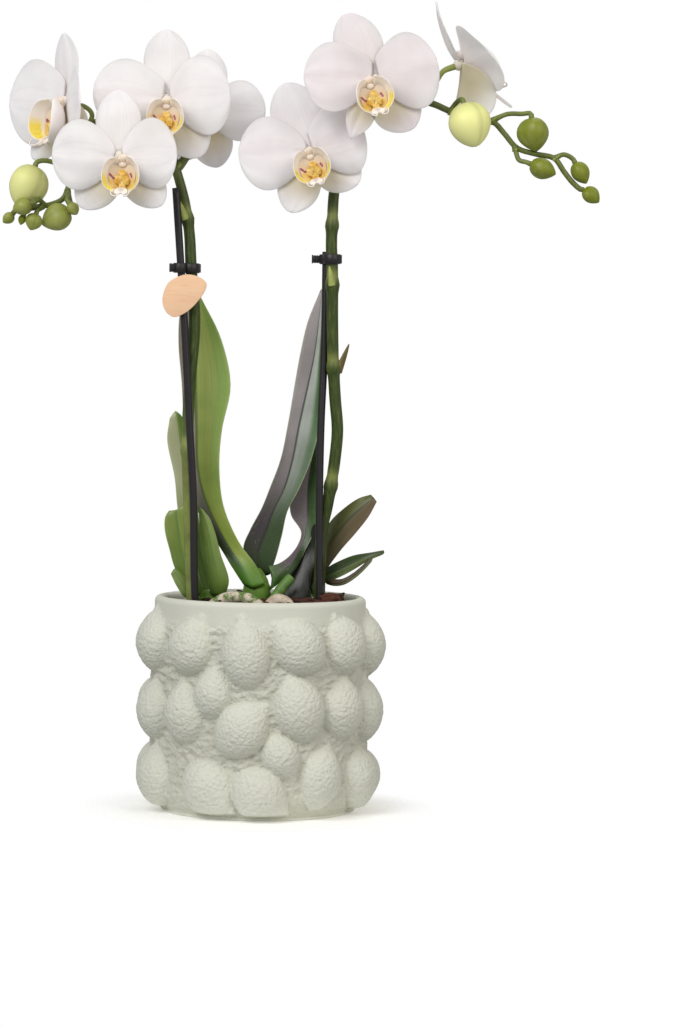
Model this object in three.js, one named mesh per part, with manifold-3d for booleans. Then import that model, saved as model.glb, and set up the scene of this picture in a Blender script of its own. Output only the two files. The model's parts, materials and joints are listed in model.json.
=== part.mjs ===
import * as THREE from "three";
import { mergeVertices } from "three/addons/utils/BufferGeometryUtils.js";
import Module from "manifold-3d";

// A potted moth orchid with two flower spikes, in a ceramic cover pot with lemons in relief.
// Millimetres, +Z up, the front towards -Y, the origin at the middle of the pot's foot.

const wasm = await Module();
wasm.setup();

const GAP = 0.3;
const RAD = Math.PI / 180;
const vec = (p) => new THREE.Vector3(p[0], p[1], p[2]);

// Driving dimensions

const POT = {
  height: 106, rim: 52, opening: 47, foot: 48.5, ground: 53.5, floor: 6,
  collarBottom: 97, footTop: 5, around: 64, rows: 14, insideAround: 32,
};
const LEMON = {
  length: 29, width: 24, swell: 11.6, seat: 50, nippleLength: 6, nippleWidth: 6.5, nippleRise: 6.2, smallDrop: 10,
};
const NURSERY = { rim: 45.6, lip: 1.6, lipHeight: 5, wall: 0.9, base: 33.5, height: 93.5, floor: 1.2, around: 28 };
const SOIL = { side: GAP, bottom: 1.8, edge: 100.5, crown: 103, around: 20 };
const STAKE = { radius: 1.7, sides: 6, steps: 9 };
const STEM = { radius: 2.9, tail: 1.35, sides: 6, steps: 32 };
const PEDICEL = { radius: 1.2, sides: 4, steps: 4 };
const LEAF = { rib: 2.2, edge: 1.0, across: 4, most: 8 };
const TEPAL = { thickness: 0.8, start: 1.4 };
const CORE = { radius: 4.2, around: 6, rows: 4 };
const TAG = { thickness: 1.5 };

// Finishes

const finish = (color, roughness) => new THREE.MeshStandardMaterial({ color, roughness, metalness: 0 });
const CERAMIC = finish(0xcfcfc2, 0.75);
const NURSERY_PLASTIC = finish(0x6b4a38, 0.5);
const BARK = finish(0x4a3024, 0.95);
const ROOT = finish(0xb9b487, 0.8);
const LEAF_GREEN = finish(0x6f8f3e, 0.45);
const LEAF_DARK = finish(0x4c5a3a, 0.45);
const STEM_GREEN = finish(0x55702b, 0.5);
const BUD_GREEN = finish(0xb7c45c, 0.5);
const PETAL_WHITE = finish(0xf5f0f2, 0.6);
const LIP_YELLOW = finish(0xf0d9a0, 0.5);
const STAKE_BLACK = finish(0x2a2628, 0.4);
const WOOD = finish(0xf2c9a0, 0.7);

// Turning geometry into closed solids and back

function closed(positions, triangles) {
  const mesh = new wasm.Mesh({
    numProp: 3,
    vertProperties: new Float32Array(positions),
    triVerts: new Uint32Array(triangles),
  });
  return new wasm.Manifold(mesh);
}

function solid(geometry) {
  const bare = geometry.clone();
  bare.deleteAttribute("normal");
  bare.deleteAttribute("uv");
  const merged = mergeVertices(bare, 1e-4);
  const index = merged.index.array;
  const kept = [];
  for (let i = 0; i < index.length; i += 3) {
    const [a, b, c] = [index[i], index[i + 1], index[i + 2]];
    if (a !== b && b !== c && c !== a) kept.push(a, b, c);
  }
  return closed(merged.attributes.position.array, kept);
}

function join(solids) {
  return solids.reduce((whole, piece) => whole.add(piece));
}

const parts = new THREE.Group();

function addPart(name, shape, material) {
  const { vertProperties, triVerts } = shape.getMesh();
  const geometry = new THREE.BufferGeometry();
  geometry.setAttribute("position", new THREE.BufferAttribute(vertProperties, 3));
  geometry.setIndex(new THREE.BufferAttribute(triVerts, 1));
  geometry.computeVertexNormals();
  const mesh = new THREE.Mesh(geometry, material);
  mesh.name = name;
  parts.add(mesh);
}

// Shapes that several pieces share

// A profile of [radius, height] pairs turned round an upright axis.
function turned(profile, around, place = [0, 0, 0]) {
  const geometry = new THREE.LatheGeometry(profile.map(([r, z]) => new THREE.Vector2(r, z)), around);
  geometry.rotateX(Math.PI / 2);
  geometry.translate(...place);
  return geometry;
}

// A tube that follows a smooth curve through the points, with its radius as a function of the way along.
function tube(points, radiusAt, sides, steps) {
  const curve = new THREE.CatmullRomCurve3(points.map(vec), false, "centripetal");
  const frames = curve.computeFrenetFrames(steps, false);
  const geometry = new THREE.CylinderGeometry(1, 1, 1, sides, steps);
  const position = geometry.attributes.position;
  const centre = new THREE.Vector3();
  for (let i = 0; i < position.count; i++) {
    const step = Math.round((0.5 - position.getY(i)) * steps);
    const along = step / steps;
    const radius = radiusAt(along);
    curve.getPointAt(along, centre);
    centre.addScaledVector(frames.normals[step], position.getX(i) * radius);
    centre.addScaledVector(frames.binormals[step], -position.getZ(i) * radius);
    position.setXYZ(i, centre.x, centre.y, centre.z);
  }
  return outward(solid(geometry), geometry);
}

// A closed shape whose faces all point in is turned the other way round.
function outward(shape, geometry) {
  if (shape.volume() > 0) return shape;
  const index = geometry.index.array;
  for (let i = 0; i < index.length; i += 3) [index[i], index[i + 1]] = [index[i + 1], index[i]];
  return solid(geometry);
}

// A thin blade on a surface of (u, v), with u from -1 to 1 across and v from 0 to 1 along.
// Both faces are split into triangles alike.
function blade(surface, thicknessAt, across, along) {
  const centre = new THREE.Vector3();
  const step = 0.02;
  const normalAt = (u, v) => {
    const [cu, cv] = [THREE.MathUtils.clamp(u, -0.96, 0.96), THREE.MathUtils.clamp(v, 0.03, 0.95)];
    const across = surface(cu + step, cv).sub(surface(cu - step, cv));
    const along = surface(cu, cv + step).sub(surface(cu, cv - step));
    return across.cross(along).normalize();
  };
  const positions = [];
  for (const side of [1, -1]) {
    for (let j = 0; j <= along; j++) {
      for (let i = 0; i <= across; i++) {
        const [u, v] = [(2 * i) / across - 1, j / along];
        centre.copy(surface(u, v)).addScaledVector(normalAt(u, v), (side * thicknessAt(u, v)) / 2);
        positions.push(centre.x, centre.y, centre.z);
      }
    }
  }
  const row = across + 1;
  const under = row * (along + 1);
  const triangles = [];
  for (let j = 0; j < along; j++) {
    for (let i = 0; i < across; i++) {
      const [a, b] = [j * row + i, j * row + i + 1];
      const [c, d] = [a + row, b + row];
      triangles.push(a, b, d, a, d, c);
      triangles.push(under + a, under + d, under + b, under + a, under + c, under + d);
    }
  }
  const edge = (a, b) => triangles.push(a, under + a, under + b, a, under + b, b);
  for (let i = 0; i < across; i++) {
    edge(i, i + 1);
    edge(along * row + i + 1, along * row + i);
  }
  for (let j = 0; j < along; j++) {
    edge((j + 1) * row, j * row);
    edge(j * row + across, (j + 1) * row + across);
  }
  return closed(positions, triangles);
}

function ball(centre, radii, around = 10, rows = 6) {
  const geometry = new THREE.SphereGeometry(1, around, rows);
  geometry.rotateX(Math.PI / 2);
  geometry.scale(...radii);
  geometry.translate(...centre);
  return solid(geometry);
}

// Cover pot

// Lemons seen in front: angle round the pot in degrees, height, size, and the lean of the nipple.
const FRONT_LEMONS = [
  [-64, 85, 1, -8], [-36, 84, 1, 20], [-4.5, 84, 1, 6], [20, 86, 1, -22], [46, 85, 1, -18], [76, 85, 1, 12],
  [-66, 53, 1, 4], [-38, 52, 1, -4], [-22, 64, 0.72, 10], [-5, 50, 1, 42], [19.5, 54, 1, -10],
  [43, 54, 1, 6], [70, 54, 1, -8],
  [-58, 21, 1, 4], [-24, 18, 0.98, 148], [2, 17, 1, 120], [12, 34, 0.72, -28], [31, 22, 0.98, 14], [58, 20, 1, 176],
];
// The back half repeats the pattern in three rows, each lemon leaning its own way.
const BACK_ROWS = [
  { height: 85, from: 106, to: 266, count: 6 },
  { height: 53.5, from: 101, to: 263, count: 6 },
  { height: 20, from: 88, to: 272, count: 7 },
];

function lemonsRound() {
  const lemons = FRONT_LEMONS.map(([turn, height, size, lean]) => ({ turn, height, size, lean }));
  for (const { height, from, to, count } of BACK_ROWS) {
    for (let i = 0; i < count; i++) {
      const turn = from + ((to - from) * i) / (count - 1);
      const rise = i % 2 === 0 ? -1 : 1.5;
      lemons.push({ turn, height: height + rise, size: 1, lean: 70 * Math.sin(i * 2.3 + height) });
    }
  }
  return lemons;
}
const LEMONS = lemonsRound();

function lemonRadius(turn, height) {
  let radius = 0;
  for (const lemon of LEMONS) {
    const away = ((((turn - lemon.turn) % 360) + 540) % 360) - 180;
    const side = away * RAD * (POT.ground + 3);
    const rise = height - lemon.height;
    if (Math.abs(side) > 22 || Math.abs(rise) > 26) continue;
    const [cos, sin] = [Math.cos(lemon.lean * RAD), Math.sin(lemon.lean * RAD)];
    const long = rise * cos + side * sin;
    const wide = side * cos - rise * sin;
    const [a, b] = [(LEMON.length * lemon.size) / 2, (LEMON.width * lemon.size) / 2];
    const body = 1 - (long / a) ** 2 - (wide / b) ** 2;
    const drop = (1 - lemon.size) * LEMON.smallDrop;
    if (body > 0) radius = Math.max(radius, LEMON.seat - drop + LEMON.swell * Math.sqrt(body));
    const tip = 1 - ((long - a) / LEMON.nippleLength) ** 2 - ((wide * 2) / LEMON.nippleWidth) ** 2;
    if (tip > 0) radius = Math.max(radius, LEMON.seat + LEMON.nippleRise * Math.sqrt(tip));
  }
  return radius;
}

function coverPot() {
  const profile = [[0, 0], [POT.foot - 1.5, 0], [POT.foot, 1.2]];
  for (let i = 0; i <= POT.rows; i++) {
    const height = POT.footTop + ((POT.collarBottom - POT.footTop) * i) / POT.rows;
    profile.push([POT.ground, height]);
  }
  profile.push([POT.rim, POT.collarBottom + 1], [POT.rim, POT.height - 2], [POT.rim - 2, POT.height], [0, POT.height]);
  const geometry = turned(profile, POT.around);
  const position = geometry.attributes.position;
  for (let i = 0; i < position.count; i++) {
    const [x, y, z] = [position.getX(i), position.getY(i), position.getZ(i)];
    const onWall = Math.hypot(x, y) > POT.ground - 0.1 && z >= POT.footTop - 0.01 && z <= POT.collarBottom + 0.01;
    if (!onWall) continue;
    const turn = Math.atan2(x, -y) / RAD;
    const neck = THREE.MathUtils.smoothstep(z, POT.collarBottom - 8, POT.collarBottom);
    const hem = 1 - THREE.MathUtils.smoothstep(z, POT.footTop, POT.footTop + 6);
    const ground = POT.ground - (POT.ground - POT.rim) * neck - (POT.ground - POT.foot - 0.5) * hem;
    const radius = Math.max(ground, lemonRadius(turn, z));
    const angle = turn * RAD;
    position.setXYZ(i, radius * Math.sin(angle), -radius * Math.cos(angle), z);
  }
  const hollow = turned([
    [0, POT.floor], [POT.opening - 0.8, POT.floor], [POT.opening, POT.height - 1.5],
    [POT.opening + 1.5, POT.height], [POT.opening + 1.5, POT.height + 5], [0, POT.height + 5],
  ], POT.insideAround);
  return outward(solid(geometry), geometry).subtract(outward(solid(hollow), hollow));
}

// Nursery pot and bark

function nurseryPot() {
  const base = POT.floor + GAP;
  const top = base + NURSERY.height;
  const under = top - NURSERY.lipHeight;
  const body = NURSERY.rim - NURSERY.lip;
  const profile = [
    [0, base], [NURSERY.base, base], [body - 0.6, under], [NURSERY.rim, under], [NURSERY.rim, top],
    [NURSERY.rim - NURSERY.wall - 0.4, top], [body - NURSERY.wall - 0.4, under],
    [NURSERY.base - NURSERY.wall, base + NURSERY.floor], [0, base + NURSERY.floor],
  ];
  const geometry = turned(profile, NURSERY.around);
  return outward(solid(geometry), geometry);
}

// Larger bark chips: place, length and turn in degrees
const CHIPS = [
  [-20, -17, 104.2, 8, 20], [26, -15, 103.4, 8, -25], [37, -9, 102.6, 7, 60], [-37, -12, 102, 8, 75],
  [-34, 12, 102.2, 9, 130], [-18, 22, 102.6, 8, 15], [0, 28, 102.4, 9, -10], [20, 22, 102.8, 8, 40],
  [34, 12, 102.2, 8, 95], [-6, -33, 101.8, 9, 5], [14, -33, 101.8, 8, -35], [-26, -30, 101.6, 7, 50],
  [-12, 12, 103.6, 8, 70], [12, 14, 103.4, 7, -50],
];

function barkFill(holes) {
  const base = POT.floor + GAP + SOIL.bottom;
  const body = NURSERY.rim - NURSERY.lip - NURSERY.wall - 0.4 - SOIL.side - 0.4;
  const profile = [
    [0, base], [NURSERY.base - NURSERY.wall - 1.4, base], [body - 0.6, POT.floor + NURSERY.height - 7.5],
    [body - 0.2, SOIL.edge - 2], [body - 3, SOIL.edge], [body * 0.55, SOIL.crown - 0.8], [0, SOIL.crown],
  ];
  const geometry = turned(profile, SOIL.around);
  let fill = outward(solid(geometry), geometry);
  for (const [x, y, z, long, turn] of CHIPS) {
    const chip = new THREE.BoxGeometry(long, 5, 4.5);
    chip.rotateX((turn % 7) * 0.1 - 0.3);
    chip.rotateZ(turn * RAD);
    chip.translate(x, y, z);
    fill = fill.add(solid(chip));
  }
  for (const hole of holes) fill = fill.subtract(hole);
  return fill;
}

// Stakes

const STAKES = {
  stake_left: [[-25, -16, 40], [-29, -20, 75], [-32, -22, 110], [-33.3, -22, 155], [-35.8, -22, 193], [-38.8, -22, 241],
    [-41.3, -22, 273], [-43.7, -21.5, 306]],
  stake_right: [[26, -9.5, 40], [28.6, -11, 80], [29.3, -10.5, 106], [28.6, -9.5, 154], [28.9, -8.5, 193], [29.9, -7, 223],
    [30.2, -6, 252], [30.2, -5.5, 276.5]],
};

function stake(name, grow = 0) {
  return tube(STAKES[name], () => STAKE.radius + grow, STAKE.sides, STAKE.steps);
}

// Crowns: the short fleshy stems that the leaves grow from, standing in the bark

const CROWNS = {
  crown_left: [
    { route: [[-26, -3, 86], [-26, -3, 98], [-26, -3, 109]], radii: [4.4, 5.2, 4.4] },
  ],
  crown_centre: [
    { route: [[-1.5, -3, 86], [-2, -3, 104], [-2.7, -3.5, 116], [-6.5, -5, 126]], radii: [5, 6, 6.9, 3.4] },
  ],
  crown_right: [
    { route: [[21, 4, 86], [21.5, 4, 98], [22.5, 4.5, 110]], radii: [4.2, 4.4, 2.4] },
  ],
};

function crown(arms, grow = 0) {
  return join(arms.map(({ route, radii }) => {
    const thick = new THREE.SplineCurve(radii.map((r, i) => new THREE.Vector2(i / (radii.length - 1), r)));
    return tube(route, (t) => thick.getPoint(t).y + grow, 8, 4);
  }));
}

// Leaves: stations from the base to the tip, each with its left edge, rib and right edge

const LEAVES = {
  leaf_centre_left: { crown: "crown_centre", material: LEAF_GREEN, stations: [
    [[-9, -6, 119], [-5, -8, 118], [-1, -7, 119]],
    [[-19, -6, 127], [-13, -5.5, 127], [-6, -8, 130]],
    [[-27, -5, 140], [-21, -4, 140], [-14, -8, 139]],
    [[-34, -5, 153], [-28, -3, 154], [-19, -6, 152]],
    [[-38, -6, 169], [-32, -2, 169], [-21, -5, 170]],
    [[-39, -6, 189], [-33, -1, 189], [-20, -4, 188]],
    [[-40, -6, 210], [-34, 0, 210], [-16, -4, 210]],
    [[-42, -5, 232], [-35, 1, 232], [-21, -2, 233]],
    [[-41, -2, 249], [-36, 1, 251], [-29.5, 0, 250]],
    [[-36.5, 0.5, 259], [-35.5, 0.5, 260], [-34.5, 0.5, 259]],
  ] },
  leaf_centre_right: { crown: "crown_centre", material: LEAF_DARK, stations: [
    [[-6, 3.5, 118], [-1, 4.2, 115], [4.5, 2.8, 116.5]],
    [[-9, 4.5, 129.5], [-2, 5, 127], [5.6, 2.6, 124]],
    [[-5.5, 4, 139], [1.5, 5, 137.5], [8.8, 2.5, 135]],
    [[-0.3, 3, 149], [6, 5, 148.5], [12.8, 1.5, 148]],
    [[4, 2.5, 160], [11, 5, 159], [18, 0.5, 158.5]],
    [[9, 2, 174], [15, 5, 174], [24, 0, 173]],
    [[12.5, 2, 192], [18, 5, 191], [28, 0, 190]],
    [[15.5, 1, 211], [22, 4, 210], [29, 0, 209]],
    [[18, 0, 226], [25, 3, 225], [29, 0, 225]],
    [[21.5, 0, 242], [27, 2, 241], [29.5, 0, 240]],
    [[27.5, 0.5, 257.5], [28.5, 0.5, 258.5], [29.5, 0.5, 257.5]],
  ] },
  leaf_back_left: { crown: "crown_left", material: LEAF_GREEN, stations: [
    [[-31, -0.5, 107], [-28, 2, 106], [-24.5, 2.4, 106.5]],
    [[-39, 2, 128], [-34, 3.5, 128], [-29, 3.5, 128]],
    [[-42, 3, 150], [-38, 4.5, 150], [-32, 5, 150]],
    [[-43.5, 3, 164], [-39.5, 4.5, 164], [-34, 5, 164]],
    [[-47.3, 2, 183], [-43, 4, 184], [-37, 5, 184]],
    [[-46.5, 2.5, 194], [-43, 4, 198], [-39, 5, 197.5]],
  ] },
  leaf_low_left: { crown: "crown_left", material: LEAF_GREEN, stations: [
    [[-34, -5.5, 107], [-31, -5, 106], [-28.5, -4.5, 106.5]],
    [[-42, -8.5, 119], [-37, -7.5, 119], [-31, -7.5, 119]],
    [[-45, -9.5, 129], [-39.5, -7.5, 129], [-33, -8, 129]],
    [[-47.5, -9.5, 139], [-41, -7.5, 139], [-34.5, -8, 139]],
    [[-47.3, -8.5, 145], [-42, -7.5, 146], [-36, -8, 146]],
    [[-44, -7.5, 149.5], [-41, -7.3, 151], [-38, -7.5, 150.5]],
  ] },
  leaf_low_left_inner: { crown: "crown_left", material: LEAF_GREEN, stations: [
    [[-24.5, -7.5, 107], [-21, -8.5, 106.3], [-17, -8, 107]],
    [[-26, -9.5, 114], [-21, -10.3, 114], [-15.5, -9, 114]],
    [[-28, -10.5, 126], [-23.5, -11.3, 126], [-19, -10.3, 127]],
    [[-30, -10.5, 137], [-26, -11.3, 138], [-22, -10.5, 138]],
    [[-30.5, -10.8, 144], [-28, -11, 145], [-25.5, -10.8, 145]],
    [[-31, -11, 149], [-30, -11, 150], [-29, -11, 149]],
  ] },
  leaf_small_left: { crown: "crown_left", material: LEAF_GREEN, stations: [
    [[-33, -8.6, 104.5], [-31, -8.6, 104], [-28.5, -7.5, 104.5]],
    [[-37.5, -12, 106], [-35.5, -12, 107.5], [-33, -11.6, 109]],
    [[-41, -13.2, 111], [-38.5, -13, 113], [-36, -12.2, 114.5]],
    [[-44, -13, 117], [-43, -13, 119], [-41.8, -13, 120]],
  ] },
  leaf_back_right: { crown: "crown_centre", material: LEAF_DARK, stations: [
    [[4.2, -2.4, 120], [5.4, -3.2, 115], [4.6, -4.6, 109.5]],
    [[8.2, 0.2, 122], [9.2, -0.3, 120], [10, -1, 117]],
    [[13, 4, 126.3], [14.3, 4.5, 125.3], [15.5, 4, 123.5]],
    [[18, 8, 133], [20, 9, 133], [22, 7.5, 132]],
    [[18, 9, 142], [22, 10.5, 141], [25, 8, 141]],
    [[15, 9, 152], [21, 11, 151], [28, 7, 152]],
    [[17, 9, 164], [23, 11, 163], [28.5, 7.5, 163]],
    [[22, 9, 176], [25, 10, 175], [28, 8, 175]],
    [[25.5, 9, 184], [26.5, 9, 185], [27.5, 9, 184]],
  ] },
  leaf_right: { crown: "crown_right", material: LEAF_DARK, stations: [
    [[22, 6, 109], [25, 5.5, 107], [27, 4.5, 105]],
    [[26, 7, 128], [29, 5.5, 123], [31.5, 4, 117]],
    [[34, 6, 143], [37, 3.5, 136], [39.5, 2.5, 129]],
    [[41, 4, 150], [44, 1.5, 145], [47, 0.5, 138]],
    [[48, 2, 155], [50.5, 0, 151], [53, -1, 146]],
    [[54, 0.3, 157], [55.5, -0.5, 155.5], [57, -1, 153.5]],
  ] },
  leaf_low_right: { crown: "crown_right", material: LEAF_DARK, stations: [
    [[25, 2, 111], [25.5, 1.4, 108], [25.5, 1, 105.5]],
    [[32, 2, 119.5], [31.5, 1.2, 115.5], [31, 0.8, 112]],
    [[39, -1, 124], [39, -3, 119.5], [39, -4, 116]],
    [[46, -4, 127], [46, -6, 123], [46, -6.5, 120]],
    [[53, -7, 128.5], [53, -8.3, 126.5], [53, -8.5, 124.5]],
    [[60.5, -9, 130], [61, -9, 129], [60.5, -9, 128]],
  ], curl: [[33, 0.8, 113.5], [36.5, -3, 112], [41, -6, 112.3], [46, -7.5, 115], [51, -8.5, 120], [54, -8.7, 124.5]] },
  leaf_inner_right: { crown: "crown_right", material: LEAF_DARK, stations: [
    [[16, -1.5, 105], [20, -1.2, 103.5], [24, -1.2, 104]],
    [[17.5, 0, 116], [21.5, 1.2, 116], [25, 1.6, 116]],
    [[21, 1.6, 123], [24, 2.8, 122.5], [26.5, 2.8, 123]],
    [[24, 2.4, 131], [26, 3, 131], [27.6, 3, 131]],
    [[26, 3.4, 141], [27, 3.4, 142], [28, 3.4, 141]],
  ] },
};

function leaf({ crown: name, stations, curl }) {
  const curves = [0, 1, 2].map((k) => new THREE.CatmullRomCurve3(stations.map((s) => vec(s[k])), false, "centripetal"));
  const surface = (u, v) => {
    const [left, rib, right] = curves.map((curve) => curve.getPoint(Math.min(Math.max(v, 0), 1)));
    const side = u < 0 ? left.clone() : right.clone();
    const folded = rib.clone().lerp(side, Math.abs(u));
    const bowed = rib.clone().multiplyScalar(1 - u * u);
    bowed.addScaledVector(left, (u * (u - 1)) / 2).addScaledVector(right, (u * (u + 1)) / 2);
    return folded.lerp(bowed, 0.5);
  };
  const thickness = (u) => LEAF.rib - (LEAF.rib - LEAF.edge) * Math.abs(u);
  const whole = blade(surface, thickness, LEAF.across, Math.min(LEAF.most, stations.length));
  const edge = curl ? [tube(curl, (t) => 1.5 - 0.5 * t, 5, 6)] : [];
  return join([whole, ...edge]).subtract(crown(CROWNS[name], GAP));
}

// Blooms: place of the column's foot, the way the face turns (yaw, pitch), how far the petals (lift) and
// sepals (sweep) lean forward, and five tepals of [turn, length, width, twist, further lean]: back sepal,
// left petal, right petal, left sepal, right sepal

const BLOOMS = {
  bloom_1: { place: [-96.5, -14, 346], yaw: -55, pitch: 2, lift: 22, sweep: 4, lipTurn: 4,
    tepals: [[-10, 36, 22], [-92, 36, 41], [88, 28, 34], [222, 32, 20], [140, 26, 19]] },
  bloom_2: { place: [-69.4, -46.5, 319.5], yaw: -4, pitch: 0, lift: 4, sweep: -2, lipTurn: 0,
    tepals: [[-3, 32, 21.5], [-88, 32.5, 34], [84, 28, 34], [218, 31, 20], [138, 31, 20]] },
  bloom_3: { place: [-48, -24.5, 348.5], yaw: 0, pitch: 0, lift: 4, sweep: -2, lipTurn: 2,
    tepals: [[2, 35, 22.5], [-80, 36, 35], [82, 31, 39], [206, 30, 20], [148, 32, 23]] },
  bloom_4: { place: [-32, 10, 345.5], yaw: -10, pitch: 0, lift: 4, sweep: -2, lipTurn: 0,
    tepals: [[4, 31, 21], [-84, 30, 32], [84, 32, 29], [208, 27, 18], [162, 28.5, 20]] },
  bloom_5: { place: [22, -22, 324.5], yaw: -4, pitch: 4, lift: 4, sweep: -2, lipTurn: -16,
    tepals: [[-20, 36.5, 22], [-93, 35, 36], [70, 27, 33], [198, 31, 21], [122, 28, 21]] },
  bloom_6: { place: [53, -33, 359], yaw: 8, pitch: 4, lift: 4, sweep: -2, lipTurn: -14,
    tepals: [[-21, 35, 21], [-88, 35, 34], [73, 32, 37], [200, 30, 18], [142, 30, 21]] },
  bloom_7: { place: [95, 4, 370], yaw: 104, pitch: 23, lift: 15, sweep: 2, lipTurn: 0,
    tepals: [[0, 33, 22], [-90, 31, 37], [88, 30, 34], [203, 29, 24, 42, -6], [146, 31, 21, 0, 14]] },
};

function bloomFrame({ place, yaw, pitch }) {
  const turnZ = new THREE.Matrix4().makeRotationZ(yaw * RAD);
  const lean = new THREE.Matrix4().makeRotationX(-pitch * RAD);
  const stand = new THREE.Matrix4().makeRotationX(Math.PI / 2);
  const move = new THREE.Matrix4().makeTranslation(...place);
  return move.multiply(turnZ).multiply(lean).multiply(stand);
}

function place(shape, frame) {
  return shape.transform(frame.elements);
}

function tepal([turn, length, width, twist = 0, further = 0], { lift, seat, claw, peak, droop, cup }) {
  const [sin, cos] = [Math.sin(turn * RAD), Math.cos(turn * RAD)];
  const slope = Math.tan((lift + further) * RAD);
  const surface = (u, v) => {
    const s = Math.min(1 - (1 - Math.min(v, 1)) ** 1.45, 1);
    const swell = Math.sin(Math.PI * Math.max(s, 0) ** peak) ** 0.6;
    const half = (width / 2) * (claw + (1 - claw) * swell);
    const out = TEPAL.start + (length - TEPAL.start) * s;
    const across = u * half * Math.cos(twist * RAD * s);
    const turned = u * half * Math.sin(twist * RAD * s);
    const rise = seat + turned + out * slope - droop * s * s - (cup * across * across) / (width / 2);
    return new THREE.Vector3(sin * out + cos * across, cos * out - sin * across, rise);
  };
  return surface;
}

function coreBall(grow = 0) {
  return ball([0, 0, 0], Array(3).fill(CORE.radius + grow), CORE.around, CORE.rows);
}

const SEPAL = { seat: 0, claw: 0.16, peak: 1.12, droop: 1.5, cup: 0.1, across: 2, along: 4 };
const PETAL = { seat: 1.6, claw: 0.13, peak: 1.3, droop: 2.5, cup: 0.08, across: 3, along: 4 };

function bloom(spec) {
  const pieces = spec.tepals.map((sizes, i) => {
    const petal = i === 1 || i === 2;
    const kind = petal ? { ...PETAL, lift: spec.lift } : { ...SEPAL, lift: spec.sweep };
    return blade(tepal(sizes, kind), () => TEPAL.thickness, kind.across, kind.along);
  });
  const core = coreBall();
  const lean = spec.lipTurn * RAD;
  const tip = [2.4 * Math.sin(lean), 2.4 * Math.cos(lean), 6.5];
  const column = ball(tip, [2.4, 2.4, 4.2], CORE.around, CORE.rows);
  return place(join([core, column, ...pieces]), bloomFrame(spec));
}

// Lip: two side lobes that make a ring, a floor with its callus, a middle lobe and two tendrils

const EAR_ARC = [[3.4, 2.6], [7.2, 0], [8.8, -5.5], [7.8, -11.5], [3.6, -15.4], [0.6, -16.2]];

function ear(side) {
  const arc = new THREE.CatmullRomCurve3(EAR_ARC.map(([x, y]) => new THREE.Vector3(side * x, y, 0)));
  const surface = (u, v) => {
    const point = arc.getPoint(Math.min(Math.max(v, 0), 1));
    const forward = (u + 1) / 2;
    const flare = 0.62 + 0.38 * Math.sqrt(Math.max(forward, 0));
    const depth = 5 + 9.5 * forward * Math.sin(Math.PI * (0.18 + 0.62 * v));
    return new THREE.Vector3(point.x * flare, -6.5 + (point.y + 6.5) * flare, depth);
  };
  return blade(surface, () => 0.9, 1, 4);
}

function lip(spec) {
  const floor = (u, v) => new THREE.Vector3(u * (1.6 + 2.6 * v), -3.4 - 11.4 * v, 3.4 + 6.6 * v - 1.4 * Math.sin(Math.PI * v));
  const tongue = (u, v) => new THREE.Vector3(
    u * (1.2 + 2.6 * Math.sin(Math.PI * (0.15 + 0.8 * v))), -12.5 - 4.2 * v, 8.5 + 9 * v);
  const pieces = [
    blade(floor, () => 1.2, 1, 2),
    blade(tongue, () => 0.9, 1, 2),
    ball([0, -7.2, 7.2], [2.2, 1.8, 2.4], 5, 3),
  ];
  for (const side of [1, -1]) {
    pieces.push(ear(side));
    const curl = [[side * 0.7, -16.2, 16.6], [side * 2.4, -15.8, 19.6], [side * 4.4, -13.6, 20.4],
      [side * 4.6, -11.6, 18.6], [side * 3.2, -11.8, 17.2]];
    pieces.push(tube(curl, () => 0.5, 3, 3));
  }
  const whole = join(pieces).subtract(coreBall(GAP));
  const turn = new THREE.Matrix4().makeRotationZ(-spec.lipTurn * RAD);
  return place(whole, bloomFrame(spec).multiply(turn));
}

// Buds: foot, tip and thickness

const BUDS = {
  bud_left_1: { foot: [-114, -12, 316], tip: [-118, -16, 297.5], width: 18.5 },
  bud_left_2: { foot: [-96, -13, 292], tip: [-106.5, -15, 286.5], width: 11.8 },
  bud_left_3: { foot: [-95.5, -17, 298], tip: [-91.5, -19, 292.5], width: 6 },
  bud_left_4: { foot: [-113.8, -22.5, 297.5], tip: [-122.5, -24, 294], width: 7.8 },
  bud_left_5: { foot: [-111.5, -19, 292.5], tip: [-114, -21, 284.5], width: 7.8 },
  bud_left_6: { foot: [-122.8, -19, 292.5], tip: [-127.5, -20, 288], width: 5.6 },
  bud_left_7: { foot: [-117.6, -19, 292], tip: [-119, -19.5, 287], width: 3.8 },
  bud_right_1: { foot: [96, -18, 347.6], tip: [99.5, -22, 328], width: 20.5 },
  bud_right_2: { foot: [128.5, -12, 342], tip: [131.5, -14, 325.5], width: 15.8 },
  bud_right_3: { foot: [129.5, -15, 320.5], tip: [142, -17, 315.5], width: 10.2 },
  bud_right_4: { foot: [150.5, -10, 321], tip: [156, -11, 311], width: 8.6 },
  bud_right_5: { foot: [155.5, -12, 308], tip: [162, -13, 302.5], width: 7 },
};
const BUD_PROFILE = [[0, 0], [0.3, 0.01], [0.78, 0.18], [1, 0.45], [0.88, 0.72], [0.45, 0.93], [0, 1]];

function bud({ foot, tip, width }, around = 7) {
  const axis = vec(tip).sub(vec(foot));
  const length = axis.length();
  const geometry = turned(BUD_PROFILE.map(([r, z]) => [(r * width) / 2, z * length]), around);
  geometry.applyQuaternion(new THREE.Quaternion().setFromUnitVectors(new THREE.Vector3(0, 0, 1), axis.normalize()));
  geometry.translate(...foot);
  return outward(solid(geometry), geometry);
}

// Spikes: the route of each flower stem, where its pedicels leave it and its nodes

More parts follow.
